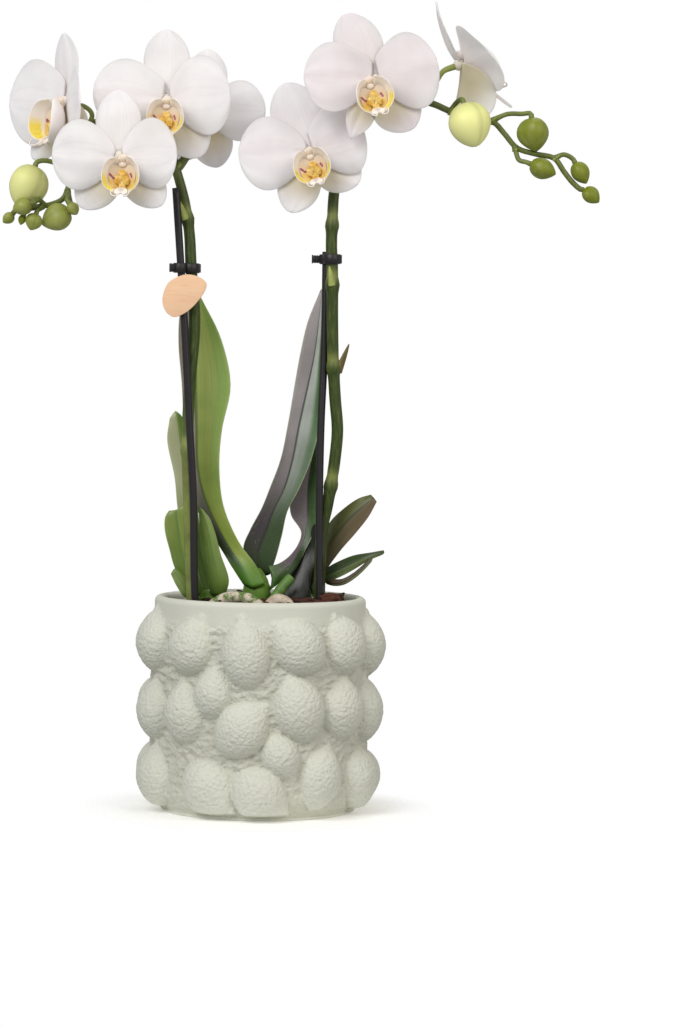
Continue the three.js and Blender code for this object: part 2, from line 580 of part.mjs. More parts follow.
const SPIKES = {
  spike_left: {
    route: [[-32, -16, 84], [-32.5, -16, 109], [-33.4, -16.4, 153], [-33.9, -16.6, 184], [-33.3, -17, 213],
      [-33.2, -17.5, 241], [-35.6, -18.5, 268], [-36.6, -18, 284], [-39, -17.5, 299], [-42.5, -17, 312],
      [-46, -14, 322], [-52, -9, 331], [-62, -3, 338], [-73, 1, 341], [-84, 0, 339], [-92, -4, 330],
      [-95.5, -8, 317], [-96.3, -9.5, 308], [-99, -12, 300.5], [-104.6, -14, 297.5], [-110, -15.5, 296.5],
      [-114.5, -17, 295.3], [-119, -18, 294.6], [-122.2, -18.6, 293.6]],
    nodes: [[-33.9, -16.6, 178], [-37.2, -18, 289]],
    bracts: [[[-37, -20.2, 287], [-39.5, -20.6, 295], [-42.4, -19.6, 301]]],
    pedicels: { bloom_1: [[-88, -1, 336], [-86, -1, 342]], bloom_2: [[-76, 1, 341], [-75, -8, 337], [-72, -26, 325]],
      bloom_3: [[-42.5, -16.5, 315], [-40, -15, 322], [-42, -14, 336]], bloom_4: [[-42.5, -16.5, 312], [-38, -11, 316], [-35, 2, 315.5], [-34.5, 14, 317.5], [-33, 20.5, 328]],
      bud_left_1: [[-96, -9, 312], [-100, -9.5, 316.5], [-108, -11, 319]], bud_left_2: [[-97, -11, 305], [-95, -12, 298]],
      bud_left_3: [[-97, -11, 304.5], [-96.5, -15, 301]],
      bud_left_4: [[-108, -15, 297], [-110, -19, 299.5]], bud_left_5: [[-109, -15.3, 296.7], [-110, -17.5, 295]],
      bud_left_7: [[-115, -17.2, 295.2], [-117, -18.5, 294]] },
    last: "bud_left_6",
  },
  spike_right: {
    route: [[29.5, -4, 84], [29.2, -4, 112], [30.2, -4.4, 140], [32.4, -5.5, 151], [34.4, -6.5, 163],
      [36, -7.5, 175], [37, -8, 189], [35.7, -8.6, 204], [34.4, -9.2, 223], [33.8, -10, 242], [33.4, -11, 268],
      [32.8, -11, 280], [33.1, -10.4, 292], [33.8, -9.5, 306], [36.8, -8, 322], [43.8, -7, 336], [52, -8, 346], [60, -9, 351],
      [70, -10, 351.5], [81, -11, 349.5], [92, -11, 345], [103, -11, 342], [111, -11, 341], [117, -11, 335],
      [123, -11, 328.4], [132, -11, 325.6], [141.5, -11, 323.5], [146, -11, 317.5], [150.5, -11, 312], [154.8, -11.8, 308.4]],
    nodes: [[34.4, -6.5, 161], [34.6, -9.1, 220], [33.4, -11, 265]],
    bracts: [[[36, -9, 218], [38.6, -9, 224], [41.5, -8.8, 231]], [[33.6, -13.6, 262], [32.2, -14, 266], [31.4, -13.8, 270]]],
    pedicels: { bloom_5: [[36, -8.3, 317], [34, -7, 322], [27, -10, 324]], bloom_6: [[62, -9.2, 351.3], [57, -14, 356]],
      bloom_7: [[79, -11, 350], [80.5, -8, 356], [84, -2, 362]],
      bud_right_1: [[90, -11, 345.5], [93, -13, 350]], bud_right_2: [[110, -11, 341.2], [118, -11, 344.8], [125, -11.5, 345]],
      bud_right_3: [[122, -11, 329], [124, -13, 322.5]], bud_right_4: [[141.5, -11, 323.5], [146, -10.5, 325.5]] },
    last: "bud_right_5",
  },
};

const towards = (from, to, length) => vec(to).sub(vec(from)).setLength(length);

// The last two points of a pedicel: square to the back of its bloom, or in line with its bud.
function pedicelEnd(name) {
  if (BLOOMS[name]) {
    const spec = BLOOMS[name];
    const back = new THREE.Vector3(0, 0, -1).transformDirection(bloomFrame(spec));
    const foot = vec(spec.place);
    return [9, CORE.radius - 1].map((out) => foot.clone().addScaledVector(back, out).toArray());
  }
  const { foot, tip } = BUDS[name];
  const back = towards(tip, foot, 1);
  return [2.2, -1].map((out) => vec(foot).addScaledVector(back, out).toArray());
}

function spike({ route, nodes, bracts, pedicels, last }, grow = 0) {
  const [, seat] = pedicelEnd(last);
  const full = [...route, seat];
  const radiusAt = (t) => THREE.MathUtils.lerp(STEM.radius, STEM.tail, THREE.MathUtils.smoothstep(t, 0.45, 0.9)) + grow;
  const pieces = [tube(full, radiusAt, STEM.sides, STEM.steps)];
  if (grow === 0) {
    for (const node of nodes) pieces.push(ball(node, [3.6, 3.6, 2.2], 7, 4));
    for (const tip of bracts) {
      pieces.push(tube(tip, (t) => 1.5 * (1 - t) + 0.35, 4, 3));
    }
    for (const [name, way] of Object.entries(pedicels)) {
      pieces.push(tube([...way, ...pedicelEnd(name)], () => PEDICEL.radius, PEDICEL.sides, PEDICEL.steps));
    }
  }
  let whole = join(pieces);
  if (grow > 0) return whole;
  for (const name of [...Object.keys(pedicels), last]) {
    whole = whole.subtract(BLOOMS[name] ? coreClearance(BLOOMS[name]) : budClearance(BUDS[name]));
  }
  return whole;
}

function coreClearance(spec) {
  return place(coreBall(GAP), bloomFrame(spec));
}

function budClearance({ foot, tip, width }) {
  const grown = towards(foot, tip, GAP);
  const longer = { foot: vec(foot).sub(grown).toArray(), tip: vec(tip).add(grown).toArray(), width: width + 2 * GAP };
  return bud(longer);
}

// Clips that hold each stem to its stake

function clip(middle, stakeAt, stemAt, spikeName, stakeName) {
  const ring = (at, radius) => {
    const geometry = new THREE.CylinderGeometry(radius, radius, 5, 10);
    geometry.rotateX(Math.PI / 2);
    geometry.translate(at[0], at[1], middle);
    return solid(geometry);
  };
  const bar = (from, to, deep, high) => {
    const [dx, dy] = [to[0] - from[0], to[1] - from[1]];
    const geometry = new THREE.BoxGeometry(Math.hypot(dx, dy), deep, high);
    geometry.rotateZ(Math.atan2(dy, dx));
    geometry.translate((from[0] + to[0]) / 2, (from[1] + to[1]) / 2, middle);
    return solid(geometry);
  };
  const out = [stemAt[0] - stakeAt[0], stemAt[1] - stakeAt[1]];
  const reach = Math.hypot(...out);
  const beyond = (at, by) => [at[0] + (out[0] / reach) * by, at[1] + (out[1] / reach) * by];
  const body = join([
    ring(stakeAt, STAKE.radius + 1.5), ring(stemAt, STEM.radius + 1.5),
    bar(beyond(stakeAt, -5), stakeAt, 1.6, 3.6), bar(stemAt, beyond(stemAt, 7), 1.6, 3.6),
  ]);
  return body.subtract(spike(SPIKES[spikeName], GAP + 0.1)).subtract(stake(stakeName, GAP));
}

// Tag: a bare wooden pebble shape in front of the left stake, held by a clip on its back

const TAG_OUTLINE = [[-49, 252.5], [-46.5, 259.5], [-41.6, 262.8], [-37, 264], [-31.3, 262.8], [-27.8, 260],
  [-28, 257], [-31, 252], [-35, 247.5], [-39.5, 244.3], [-43.5, 243.2], [-46.6, 245], [-48.6, 248.5]];

function tag() {
  const curve = new THREE.SplineCurve([...TAG_OUTLINE, TAG_OUTLINE[0]].map(([x, z]) => new THREE.Vector2(x, z)));
  const outline = new THREE.Shape(curve.getPoints(20).slice(0, -1));
  const plate = new THREE.ExtrudeGeometry(outline, { depth: TAG.thickness, bevelEnabled: false, steps: 1 });
  plate.rotateX(Math.PI / 2);
  const face = -24.6;
  plate.translate(0, face, 0);
  const grip = new THREE.BoxGeometry(6.2, 4.2, 7);
  grip.translate(-40.2, face + 2, 253);
  return solid(plate).add(solid(grip)).subtract(stake("stake_left", GAP));
}

// Aerial roots that lie over the bark, and the cut stub of an old flower stem

const ROOTS = {
  root_green: { points: [[-26, -23, 98], [-22, -24, 103.5], [-15, -25, 106.8], [-7, -26, 106.8], [-1, -28, 104], [3, -30, 98]],
    radius: 2.7 },
  root_pale: { points: [[3, -22, 98], [5, -21.5, 103.2], [9, -21, 106.2], [13, -21, 104.8], [17, -23, 98]], radius: 2.4 },
};

function root({ points, radius }, grow = 0) {
  return tube(points, (t) => radius * (0.8 + 0.2 * Math.sin(Math.PI * t)) + grow, 6, 7);
}

const STUB = { points: [[5.5, -10.5, 90], [7, -10.5, 106], [10.5, -9, 113.5], [13, -8, 117.5]], radius: 2.4 };

function stub(grow = 0) {
  return tube(STUB.points, () => STUB.radius + grow, 7, 4);
}

// Putting it together

addPart("cover_pot", coverPot(), CERAMIC);
addPart("nursery_pot", nurseryPot(), NURSERY_PLASTIC);
const holes = [
  ...Object.keys(STAKES).map((name) => stake(name, GAP)),
  ...Object.values(SPIKES).map((spec) => spike(spec, GAP)),
  ...Object.values(CROWNS).map((spec) => crown(spec, GAP)),
  ...Object.values(ROOTS).map((spec) => root(spec, GAP)),
  stub(GAP),
];
addPart("bark_fill", barkFill(holes), BARK);
for (const [name, spec] of Object.entries(ROOTS)) addPart(name, root(spec), ROOT);
addPart("old_stem_stub", stub(), BUD_GREEN);
for (const [name, spec] of Object.entries(CROWNS)) addPart(name, crown(spec), LEAF_GREEN);
for (const [name, spec] of Object.entries(LEAVES)) addPart(name, leaf(spec), spec.material);
for (const name of Object.keys(STAKES)) addPart(name, stake(name), STAKE_BLACK);
for (const [name, spec] of Object.entries(SPIKES)) addPart(name, spike(spec), STEM_GREEN);
addPart("clip_left", clip(269, [-41, -22], [-35.7, -18.5], "spike_left", "stake_left"), STAKE_BLACK);
addPart("clip_right", clip(274, [30.2, -5.6], [33.2, -11], "spike_right", "stake_right"), STAKE_BLACK);
addPart("tag", tag(), WOOD);
for (const [name, spec] of Object.entries(BLOOMS)) {
  addPart(name, bloom(spec), PETAL_WHITE);
  addPart(name.replace("bloom", "lip"), lip(spec), LIP_YELLOW);
}
for (const [name, spec] of Object.entries(BUDS)) addPart(name, bud(spec), BUD_GREEN);

export default parts;
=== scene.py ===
"""A potted moth orchid with two flower spikes, in a ceramic cover pot with lemons in relief.

The tables hold millimetres, in the frame of the CAD model: +Z up, the front towards -Y.
Every finished piece is in metres, with its place in its mesh.
"""

import json
import math
import random
from functools import lru_cache
from types import SimpleNamespace as Sizes

import bmesh
import bpy
from mathutils import Euler, Matrix, Vector, noise

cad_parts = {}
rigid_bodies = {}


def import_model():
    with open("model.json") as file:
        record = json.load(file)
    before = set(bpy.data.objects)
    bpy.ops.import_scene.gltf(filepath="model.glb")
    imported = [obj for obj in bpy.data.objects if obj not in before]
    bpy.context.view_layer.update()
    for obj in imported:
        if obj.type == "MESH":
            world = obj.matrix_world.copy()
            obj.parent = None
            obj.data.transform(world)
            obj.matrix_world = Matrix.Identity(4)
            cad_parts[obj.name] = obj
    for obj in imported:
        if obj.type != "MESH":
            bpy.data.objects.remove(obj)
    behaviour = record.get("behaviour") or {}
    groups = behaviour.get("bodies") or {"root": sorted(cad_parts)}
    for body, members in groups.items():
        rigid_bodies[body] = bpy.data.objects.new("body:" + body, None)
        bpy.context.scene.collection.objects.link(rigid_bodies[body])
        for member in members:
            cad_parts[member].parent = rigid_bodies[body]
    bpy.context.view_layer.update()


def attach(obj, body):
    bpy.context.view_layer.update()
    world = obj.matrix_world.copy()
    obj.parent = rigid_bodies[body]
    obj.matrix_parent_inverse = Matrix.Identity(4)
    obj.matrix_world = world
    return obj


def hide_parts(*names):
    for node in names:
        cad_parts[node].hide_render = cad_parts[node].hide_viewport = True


bl_info = {
    "name": "Potted Moth Orchid",
    "version": (1, 0, 0),
    "blender": (4, 5, 0),
    "location": "3D View > Sidebar > Orchid",
    "description": "Makes the flowers, leaves, stems, bark and ceramic cover pot of a potted moth orchid",
    "category": "Object",
}

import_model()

MM = 0.001
WELD = 0.001
FULL_TURN = 2 * math.pi


def hexa(code):
    """An sRGB colour such as D7D8CE as the linear colour that shaders take."""
    channels = [int(code[i:i + 2], 16) / 255 for i in (0, 2, 4)]
    linear = [c / 12.92 if c <= 0.04045 else ((c + 0.055) / 1.055) ** 2.4 for c in channels]
    return (*linear, 1.0)


def tepal(turn, long, width, twist=0, lean=0, bend=0, point=0, shoulder=0):
    """One petal or sepal: its turn round the face, length, width, twist, further lean forward, forward bend of the
    tip, how pointed it is, and how far its upper side fills out towards the claw."""
    return Sizes(turn=turn, long=long, width=width, twist=twist, lean=lean, bend=bend, point=point, shoulder=shoulder)


# Sizes and places, as on the CAD model

# Radii and heights of the cover pot; skin is the radius at which the noise of its surface is read
POT = Sizes(
    height=106, rim=52.3, opening=47, foot=48.5, ground=52.7, floor=6, collar=97, foot_top=1.6, wall_top=103.2,
    skin=57, around=520, wall_rows=148,
)
# Lemons: where they sit, how far one of the usual width stands out, its nipple and its skin, and how far from its
# middle a lemon can cover a place, round the pot (reach) and up or down (tall)
LEMON = Sizes(
    seat=51.3, stand=11.2, nipple=1.5, nipple_half=3.3, nipple_lift=0.4, wrinkle=0.33, soften=1.2,
    usual=28, reach=20, tall=24,
)

# Lemons seen in front: angle round the pot in degrees, height, length, width, and the lean of the nipple
FRONT_LEMONS = [
    (-71.5, 84, 33, 30, -3), (-38, 83.6, 31.5, 26.5, 24), (-6.2, 80.8, 35.5, 25, -8), (22.6, 84.6, 34, 26.5, -52),
    (52.5, 84.2, 32, 28, -28), (83.5, 82.5, 33, 28.5, 0),
    (-70.5, 50.5, 33, 28.5, 4), (-41, 50.8, 32.5, 26, -6), (-23.8, 61.6, 27.5, 21, 10), (-8, 44.5, 34, 26.5, 46),
    (22.8, 54.5, 35, 27.5, -18), (50.5, 53.3, 32.5, 27.5, 6), (78, 51, 34.5, 28, -8),
    (-68, 18.5, 33, 30, 4), (-26.5, 15.8, 33.5, 27, 128), (1.8, 13.4, 33.5, 27, 125), (12.8, 32, 25.5, 20, 150),
    (35.5, 20.5, 33.5, 24.5, 17), (67.5, 18.5, 33.5, 28.5, 176),
]
# The back half repeats the pattern in three rows, each lemon leaning its own way: height, first, last, count
BACK_ROWS = [(82, 112, 257, 6), (50, 107, 256.5, 6), (17.5, 104.5, 257.5, 6)]

# The nursery pot narrows a little inside its rim, and the bark is uneven above the height rough_from
NURSERY = Sizes(rim=45.6, lip=1.6, lip_height=5, wall=0.9, base=33.5, height=93.5, floor=1.2, lift=0.3, narrow=0.4)
SOIL = Sizes(gap=0.3, bottom=1.8, edge=99.8, crown=102.2, reach=40, rough_from=94)
# Larger chips that stand out of the bark: middle, half sizes and how light they are
LARGE_CHIPS = [
    ((24, -19, 103.6), (6, 4, 2.8), 0.5), ((34, -13, 104.6), (5, 4.5, 3.6), 0.75),
    ((37, -2, 104.4), (5, 4, 3.4), 0.3), ((-14, -16, 103.4), (5, 4, 2.6), 0.7),
    ((-9, -13, 104.2), (3.4, 3, 2.6), 0.4), ((18, -15, 103.2), (4, 3.4, 2.6), 0.2),
    ((30, -22, 102.6), (4.6, 3.6, 2.6), 0.85), ((14, 14, 103.4), (6, 4.5, 3), 0.5),
    ((-12, 20, 103), (6, 4, 3), 0.6),
]

STAKES = {
    "stake_left": [(-25, -16, 40), (-29, -20, 75), (-31.8, -22, 110), (-33, -22, 155), (-35.4, -22, 193),
                   (-38.4, -22, 241), (-40.8, -22, 273), (-43.3, -21.5, 306)],
    "stake_right": [(26, -9.5, 40), (28.6, -11, 80), (29.3, -10.5, 106), (28.6, -9.5, 154), (28.9, -8.5, 193),
                    (29.9, -7, 223), (30.2, -6, 252), (30.2, -5.5, 276.5)],
}
STAKE_RADIUS = 1.85

CROWNS = {
    "crown_left": ([(-26, -3, 86), (-26, -3, 98), (-26, -3, 109)], [4.4, 5.2, 4.4]),
    "crown_centre": ([(-1.5, -3, 86), (-1.6, -3.2, 100), (-1.8, -3.4, 107), (-2.2, -3.8, 113), (-3, -4, 117.5),
                      (-3.6, -4, 120)], [5, 5.2, 6.6, 7.0, 6.0, 3.0]),
    "crown_right": ([(21, 4, 86), (21.5, 4, 98), (22.5, 4.5, 110)], [4.2, 4.4, 2.4]),
}

# Leaves: stations from the base to the tip, each with its left edge, rib and right edge
LEAF = Sizes(rib=2.3, edge=1.1, around=36, rows=54)
LEAVES = {
    "leaf_centre_left": [
        ((-8.5, -7, 112), (-3.5, -11, 110), (2.5, -9.5, 112)), ((-14.5, -6.5, 121), (-9, -8, 121), (-2.5, -9, 122)),
        ((-19, -5, 128), (-13.6, -5.5, 127.5), (-9.2, -7.5, 130.5)),
        ((-27, -5, 140), (-21, -4, 140), (-14, -8, 139)), ((-34, -5, 153), (-28, -3, 154), (-19, -6, 152)),
        ((-38, -6, 169), (-32, -2, 169), (-21, -5, 170)), ((-39, -6, 189), (-33, -1, 189), (-20, -4, 188)),
        ((-40, -6, 210), (-34, 0, 210), (-16, -4, 210)), ((-42, -5, 232), (-35, 1, 232), (-21, -2, 233)),
        ((-41, -2, 249), (-36, 1, 251), (-29.5, 0, 250)), ((-36.5, 0.5, 259), (-35.5, 0.5, 260), (-34.5, 0.5, 259)),
    ],
    "leaf_centre_right": [
        ((-6, 3.5, 118), (-1, 4.2, 115), (4.5, 2.8, 116.5)), ((-9, 4.5, 129.5), (-1.5, 5, 127), (7.4, 2.6, 125)),
        ((-5.5, 4, 139), (2, 5, 137.5), (10.2, 2.5, 136)), ((-0.3, 3, 149), (6, 5, 148.5), (12.8, 1.5, 148)),
        ((4, 2.5, 160), (11, 5, 159), (18, 0.5, 158.5)), ((9, 2, 174), (15, 5, 174), (24, 0, 173)),
        ((12.5, 2, 192), (18, 5, 191), (28, 0, 190)), ((15.5, 1, 211), (22, 4, 210), (29, 0, 209)),
        ((18, 0, 226), (25, 3, 225), (29, 0, 225)), ((21.5, 0, 242), (27, 2, 241), (29.5, 0, 240)),
        ((27.5, 0.5, 257.5), (28.5, 0.5, 258.5), (29.5, 0.5, 257.5)),
    ],
    "leaf_back_left": [
        ((-31, -0.5, 107), (-28, 2, 106), (-24.5, 2.4, 106.5)), ((-39, 2, 128), (-34, 3.5, 128), (-29, 3.5, 128)),
        ((-42, 3, 150), (-37, 4.5, 150), (-32, 5, 150)), ((-43.5, 3, 164), (-37.8, 4.5, 164), (-33, 5, 164)),
        ((-47.3, 2, 183), (-41.2, 4, 184), (-36, 5, 184)), ((-46.3, 2.3, 193), (-43.4, 4, 197), (-40, 5, 194)),
    ],
    "leaf_low_left": [
        ((-34, -5.5, 107), (-31, -5, 106), (-28.5, -4.5, 106.5)),
        ((-42, -8.5, 119), (-37, -7.5, 119), (-31, -7.5, 119)),
        ((-45, -9.5, 129), (-39.5, -7.5, 129), (-33, -8, 129)),
        ((-47.5, -9.5, 139), (-41, -7.5, 139), (-34.5, -8, 139)),
        ((-47.3, -8.5, 145), (-42, -7.5, 146), (-36, -8, 146)),
        ((-45.6, -7.5, 148), (-41.8, -7.3, 148.6), (-37.8, -7.5, 151.4)),
    ],
    "leaf_low_left_inner": [
        ((-24.5, -7.5, 107), (-21, -8.5, 106.3), (-17, -8, 107)),
        ((-26, -9.5, 114), (-21, -10.3, 114), (-15.5, -9, 114)),
        ((-28, -10.5, 126), (-23.5, -11.3, 126), (-19.6, -10.3, 127)),
        ((-30, -10.5, 137), (-26, -11.3, 138), (-22.6, -10.5, 138)),
        ((-30.5, -10.8, 144), (-28, -11, 145), (-25.5, -10.8, 145)),
        ((-31, -11, 149), (-30, -11, 150), (-29, -11, 149)),
    ],
    "leaf_small_left": [
        ((-33, -8.6, 104.5), (-31, -8.6, 104), (-28.5, -7.5, 104.5)),
        ((-37.5, -12, 106), (-35.5, -12, 107.5), (-33, -11.6, 109)),
        ((-41, -13.2, 111), (-38.5, -13, 113), (-36, -12.2, 114.5)),
        ((-44, -13, 117), (-43, -13, 119), (-41.8, -13, 120)),
    ],
    "leaf_back_right": [
        ((3.5, -3, 121), (5.4, -4.2, 115), (4.6, -5.2, 109)),
        ((8.2, -1, 122), (10, -2, 118.5), (10.5, -2.5, 113.5)),
        ((13.5, 2, 125.4), (15.5, 1.5, 122.5), (17.2, 0.5, 119.5)),
        ((18, 6, 131.2), (19.6, 6.5, 129.8), (21.6, 4.5, 128)),
        ((19.6, 8, 137.5), (22, 9, 137), (25.4, 6.5, 136.5)), ((14.4, 9, 146), (23, 11, 146), (27.9, 7, 146)),
        ((14, 9, 156), (23, 11, 156), (28.3, 7, 156)), ((17, 9, 166), (23.6, 11, 166), (28.3, 7.5, 166)),
        ((22, 9, 176), (25, 10, 175), (28, 8, 175)), ((25.5, 9, 184), (26.5, 9, 185), (27.5, 9, 184)),
    ],
    "leaf_right": [
        ((22, 6, 109), (25, 5.5, 107), (27, 4.5, 105)), ((26, 7, 128), (29, 5.5, 123), (31.5, 4, 117)),
        ((34, 6, 143), (37, 3.5, 136), (39.5, 2.5, 129)), ((41, 4, 150), (44, 1.5, 145), (47, 0.5, 138)),
        ((48, 2, 155), (50.5, 0, 151), (53, -1, 146)), ((54, 0.3, 157), (55.5, -0.5, 155.5), (57, -1, 153.5)),
    ],
    "leaf_low_right": [
        ((25, 2, 111), (25.5, 1.4, 108), (25.5, 1, 105.5)), ((32, 2, 119.5), (31.5, 1.2, 115.5), (31, 0.8, 112)),
        ((39, -1, 124), (39, -3, 119.5), (39, -4, 116)), ((46, -4, 127), (46, -6, 123), (46, -6.5, 120)),
        ((53, -7, 128.5), (53, -8.3, 126.5), (53, -8.5, 124.5)), ((60.5, -9, 130), (61, -9, 129), (60.5, -9, 128)),
    ],
    "leaf_inner_right": [
        ((12, -2, 105), (18, -2, 103.5), (24, -1.2, 104)), ((13, 4, 115), (19.5, 2.5, 115), (25, 1.6, 116)),
        ((14.5, 7, 123), (21, 5, 122.5), (26.5, 2.8, 123)), ((20.5, 9, 131.5), (24.5, 6.5, 131), (27.8, 3, 131)),
        ((25.5, 9, 141), (27, 6.5, 142), (28.4, 3.4, 141)),
    ],
}
# The rolled lower edge of the leaf at the right
CURLED_EDGE = [(33, 0.6, 114), (36.5, -3, 113.3), (41, -6, 114), (46, -7.5, 117), (51, -8.5, 121.5), (55, -8.8, 126)]

# Colours of each leaf: left half low and high, right half low and high, its outer part, back, groove, margin, base
# Painted light in these colours: the dark groove codes are painted shade in the groove along the rib;
# and the near-white margin of the back right leaf is partly a painted highlight.
# leaf, are partly painted shade; the silver high right half of the centre right leaf is a painted sheen;
# the darkest codes, on the low left half of the centre left leaf and on the leaves at the right and the inner right
LEAF_COLOURS = {
    "leaf_centre_left": ("1C2812", "9A8C86", "86983E", "94A454", "84A04C", "6C8A3C", "3A5420", "A8B884", "4C7A22"),
    "leaf_centre_right": ("3A3436", "A8A1A2", "2A4214", "AEB4AC", "3C6A2A", "4C5F38", "1C181C", "B4BE9A", "24380F"),
    "leaf_back_left": ("A0A878", "B8BA94", "5C7F2E", "6C8C3C", "6C8C3C", "6C8A3C", "8A9A5C", "B4C08A", "6A8A3C"),
    "leaf_low_left": ("6C8438", "7C8E40", "6C8636", "86984A", "8A9C50", "5F7E34", "62803A", "A4B078", "4E6C28"),
    "leaf_low_left_inner": ("66803A", "7A9246", "6A8438", "7C9446", "80984A", "4F702C", "627C34", "A4B078", "486A28"),
    "leaf_small_left": ("6C843E", "7F9452", "6C843E", "7F9452", "7F9452", "45682A", "64803C", "9CB070", "4C6C2C"),
    "leaf_back_right": ("5A5056", "877C80", "2A4018", "3E5A2C", "4A6C3C", "3C4E2C", "2C2B2A", "D8E0C6", "3C5E24"),
    "leaf_right": ("3A421A", "565A28", "44401F", "62553A", "6A5A42", "6A5A44", "32391A", "86744E", "282F16"),
    "leaf_low_right": ("243416", "34461F", "46582F", "5C6A3C", "66743F", "4A3E2C", "26341A", "9AA47C", "222C14"),
    "leaf_inner_right": ("12160C", "1A2012", "10140A", "181C10", "181C10", "14180C", "0E120A", "6E7A50", "12160A"),
}

# Blooms: place of the column's foot, the way the face turns, how far petals and sepals lean forward, tint, the turn,
# shift and size of the lip, and the back sepal, left petal, right petal, left sepal and right sepal
# The tint mixes in a pinkish grey that is partly the pinker colour of older blooms, partly painted shade.
BLOOMS = {
    "bloom_1": Sizes(
        place=(-96.5, -14, 346), yaw=-55, pitch=2, lift=22, sweep=4, tint=0.0, lip_turn=4, lip_shift=(0, -1),
        lip_size=1.22,
        tepals=[
            tepal(-10, 36, 22), tepal(-85, 35, 42, shoulder=0.35), tepal(88, 28, 34), tepal(228, 37, 22, lean=4),
            tepal(140, 26, 19),
        ],
    ),
    "bloom_2": Sizes(
        place=(-69.4, -46.5, 319.5), yaw=-4, pitch=0, lift=4, sweep=-2, tint=0.05, lip_turn=0,
        lip_shift=(2.2, -3.1), lip_size=1,
        tepals=[tepal(-3, 32, 22), tepal(-88, 32.5, 34), tepal(84, 28, 34), tepal(218, 31, 21), tepal(138, 31, 20)],
    ),
    "bloom_3": Sizes(
        place=(-48, -24.5, 348.5), yaw=0, pitch=0, lift=4, sweep=-2, tint=0.1, lip_turn=2, lip_shift=(0, -2.6),
        lip_size=1,
        tepals=[
            tepal(-1, 34.2, 22.5), tepal(-83, 36, 34, shoulder=0.3), tepal(82, 31, 39, shoulder=0.1),
            tepal(206, 30, 20), tepal(148, 32, 23),
        ],
    ),
    "bloom_4": Sizes(
        place=(-32, 10, 345.5), yaw=-10, pitch=0, lift=4, sweep=-2, tint=0.0, lip_turn=0, lip_shift=(0, 0),
        lip_size=1,
        tepals=[tepal(4, 31, 21), tepal(-84, 30, 32), tepal(89, 32, 30), tepal(208, 27, 18), tepal(164, 28.5, 21)],
    ),
    "bloom_5": Sizes(
        place=(22, -22, 324.5), yaw=-4, pitch=4, lift=4, sweep=-2, tint=0.3, lip_turn=-16, lip_shift=(0, -2.2),
        lip_size=1,
        tepals=[
            tepal(-22, 36.5, 25), tepal(-93, 35, 36), tepal(68, 28, 36, shoulder=0.3), tepal(198, 31, 21),
            tepal(122, 28, 23),
        ],
    ),
    "bloom_6": Sizes(
        place=(53, -33, 359), yaw=8, pitch=4, lift=4, sweep=-2, tint=0.6, lip_turn=-14, lip_shift=(-3.4, -3),
        lip_size=1,
        tepals=[
            tepal(-25, 35, 23.5), tepal(-88, 35, 34, shoulder=0.3), tepal(75, 31.5, 38, shoulder=0.3),
            tepal(202, 31, 14, point=0.35), tepal(140, 30, 25),
        ],
    ),
    "bloom_7": Sizes(
        place=(95, 4, 370), yaw=104, pitch=23, lift=15, sweep=2, tint=0.1, lip_turn=0, lip_shift=(0, 1.5),
        lip_size=1.2,
        tepals=[
            tepal(0, 33, 19, twist=20, lean=-10, bend=6, point=0.4), tepal(-90, 31, 38, twist=-22),
            tepal(88, 30, 30, twist=18, lean=22), tepal(203, 31, 29, twist=62, lean=-2),
            tepal(150, 34, 21, lean=32),
        ],
    ),
}
SEPAL = Sizes(seat=0, claw=0.3, peak=1.12, droop=1.5, cup=0.1, ruffle=0.5, blunt=0.55, around=36, rows=26)
PETAL = Sizes(seat=1.6, claw=0.13, peak=1.3, droop=2.5, cup=0.08, ruffle=1.1, blunt=0.5, around=52, rows=34)
TEPAL_START = 1.4
CORE_RADIUS = 4.2
# One side lobe of the lip, from its top down to the middle lobe
EAR_ARC = [(2.2, 3.2), (5.6, 1.8), (8.3, -1.5), (9.4, -6.5), (8.6, -10.8), (6.2, -13.8), (3.2, -15.4)]
# Purple marks on the inside of the lip: route and half width
LIP_MARKS = [([(-5.8, -5.8), (-4.6, -7.2), (-3.2, -8.0)], 1.25), ([(4.0, -5.4), (4.6, -7.0)], 1.1)]
# Knobs of the callus in the middle of the lip: middle and half sizes
CALLUS = [
    ((0.4, -6.2, 6.0), (2.3, 2.4, 2.0)), ((-1.7, -8.6, 6.4), (1.9, 2.1, 1.5)), ((1.9, -8.2, 6.6), (1.7, 2.3, 1.6)),
    ((0.2, -11.2, 6.4), (1.7, 2.4, 1.3)),
]

# Buds: foot, tip, thickness and how ripe they are, from a green button to one about to open
BUDS = {
    "bud_left_1": ((-112.8, -12, 316), (-120, -16, 295.5), 19.2, 0.88),
    "bud_left_2": ((-95.3, -13, 294), (-109, -15, 287.5), 13.6, 0.22),
    "bud_left_3": ((-95.5, -17, 298), (-91.5, -19, 292.5), 6, 0.22),
    "bud_left_4": ((-113.8, -22.5, 297.5), (-122.5, -24, 294), 8.6, 0.2),
    "bud_left_5": ((-111.5, -19, 292.5), (-114, -21, 284.5), 8.4, 0.18),
    "bud_left_6": ((-122.8, -19, 292.5), (-127.5, -20, 288), 5.6, 0.15),
    "bud_left_7": ((-117.6, -19, 292), (-119, -19.5, 287), 3.8, 0.0),
    "bud_right_1": ((96.4, -18, 349), (102.6, -22, 328), 20.8, 1.0),
    "bud_right_2": ((129.8, -12, 343), (132.4, -14, 326.5), 15.8, 0.06),
    "bud_right_3": ((129.5, -15, 320.5), (142, -17, 315.5), 10.2, 0.04),
    "bud_right_4": ((151.6, -10, 321.6), (157.4, -11, 311.4), 9, 0.04),
    "bud_right_5": ((156, -12, 308.6), (163.6, -13, 302.2), 8.2, 0.0),
}

# How far the seams are turned from one bud to the next, and on the first
SEAM_STEP, FIRST_SEAM = 1.3, 0.61

# Spikes: route of each flower stem, heights of its rings, how pale its foot is, its bracts, the route of each
# pedicel that leaves it, and the bud at its end
# A pale foot, as on the left spike, is painted light falling on the lower stem.
STEM = Sizes(radius=2.9, tail=1.35, around=18, steps=190)
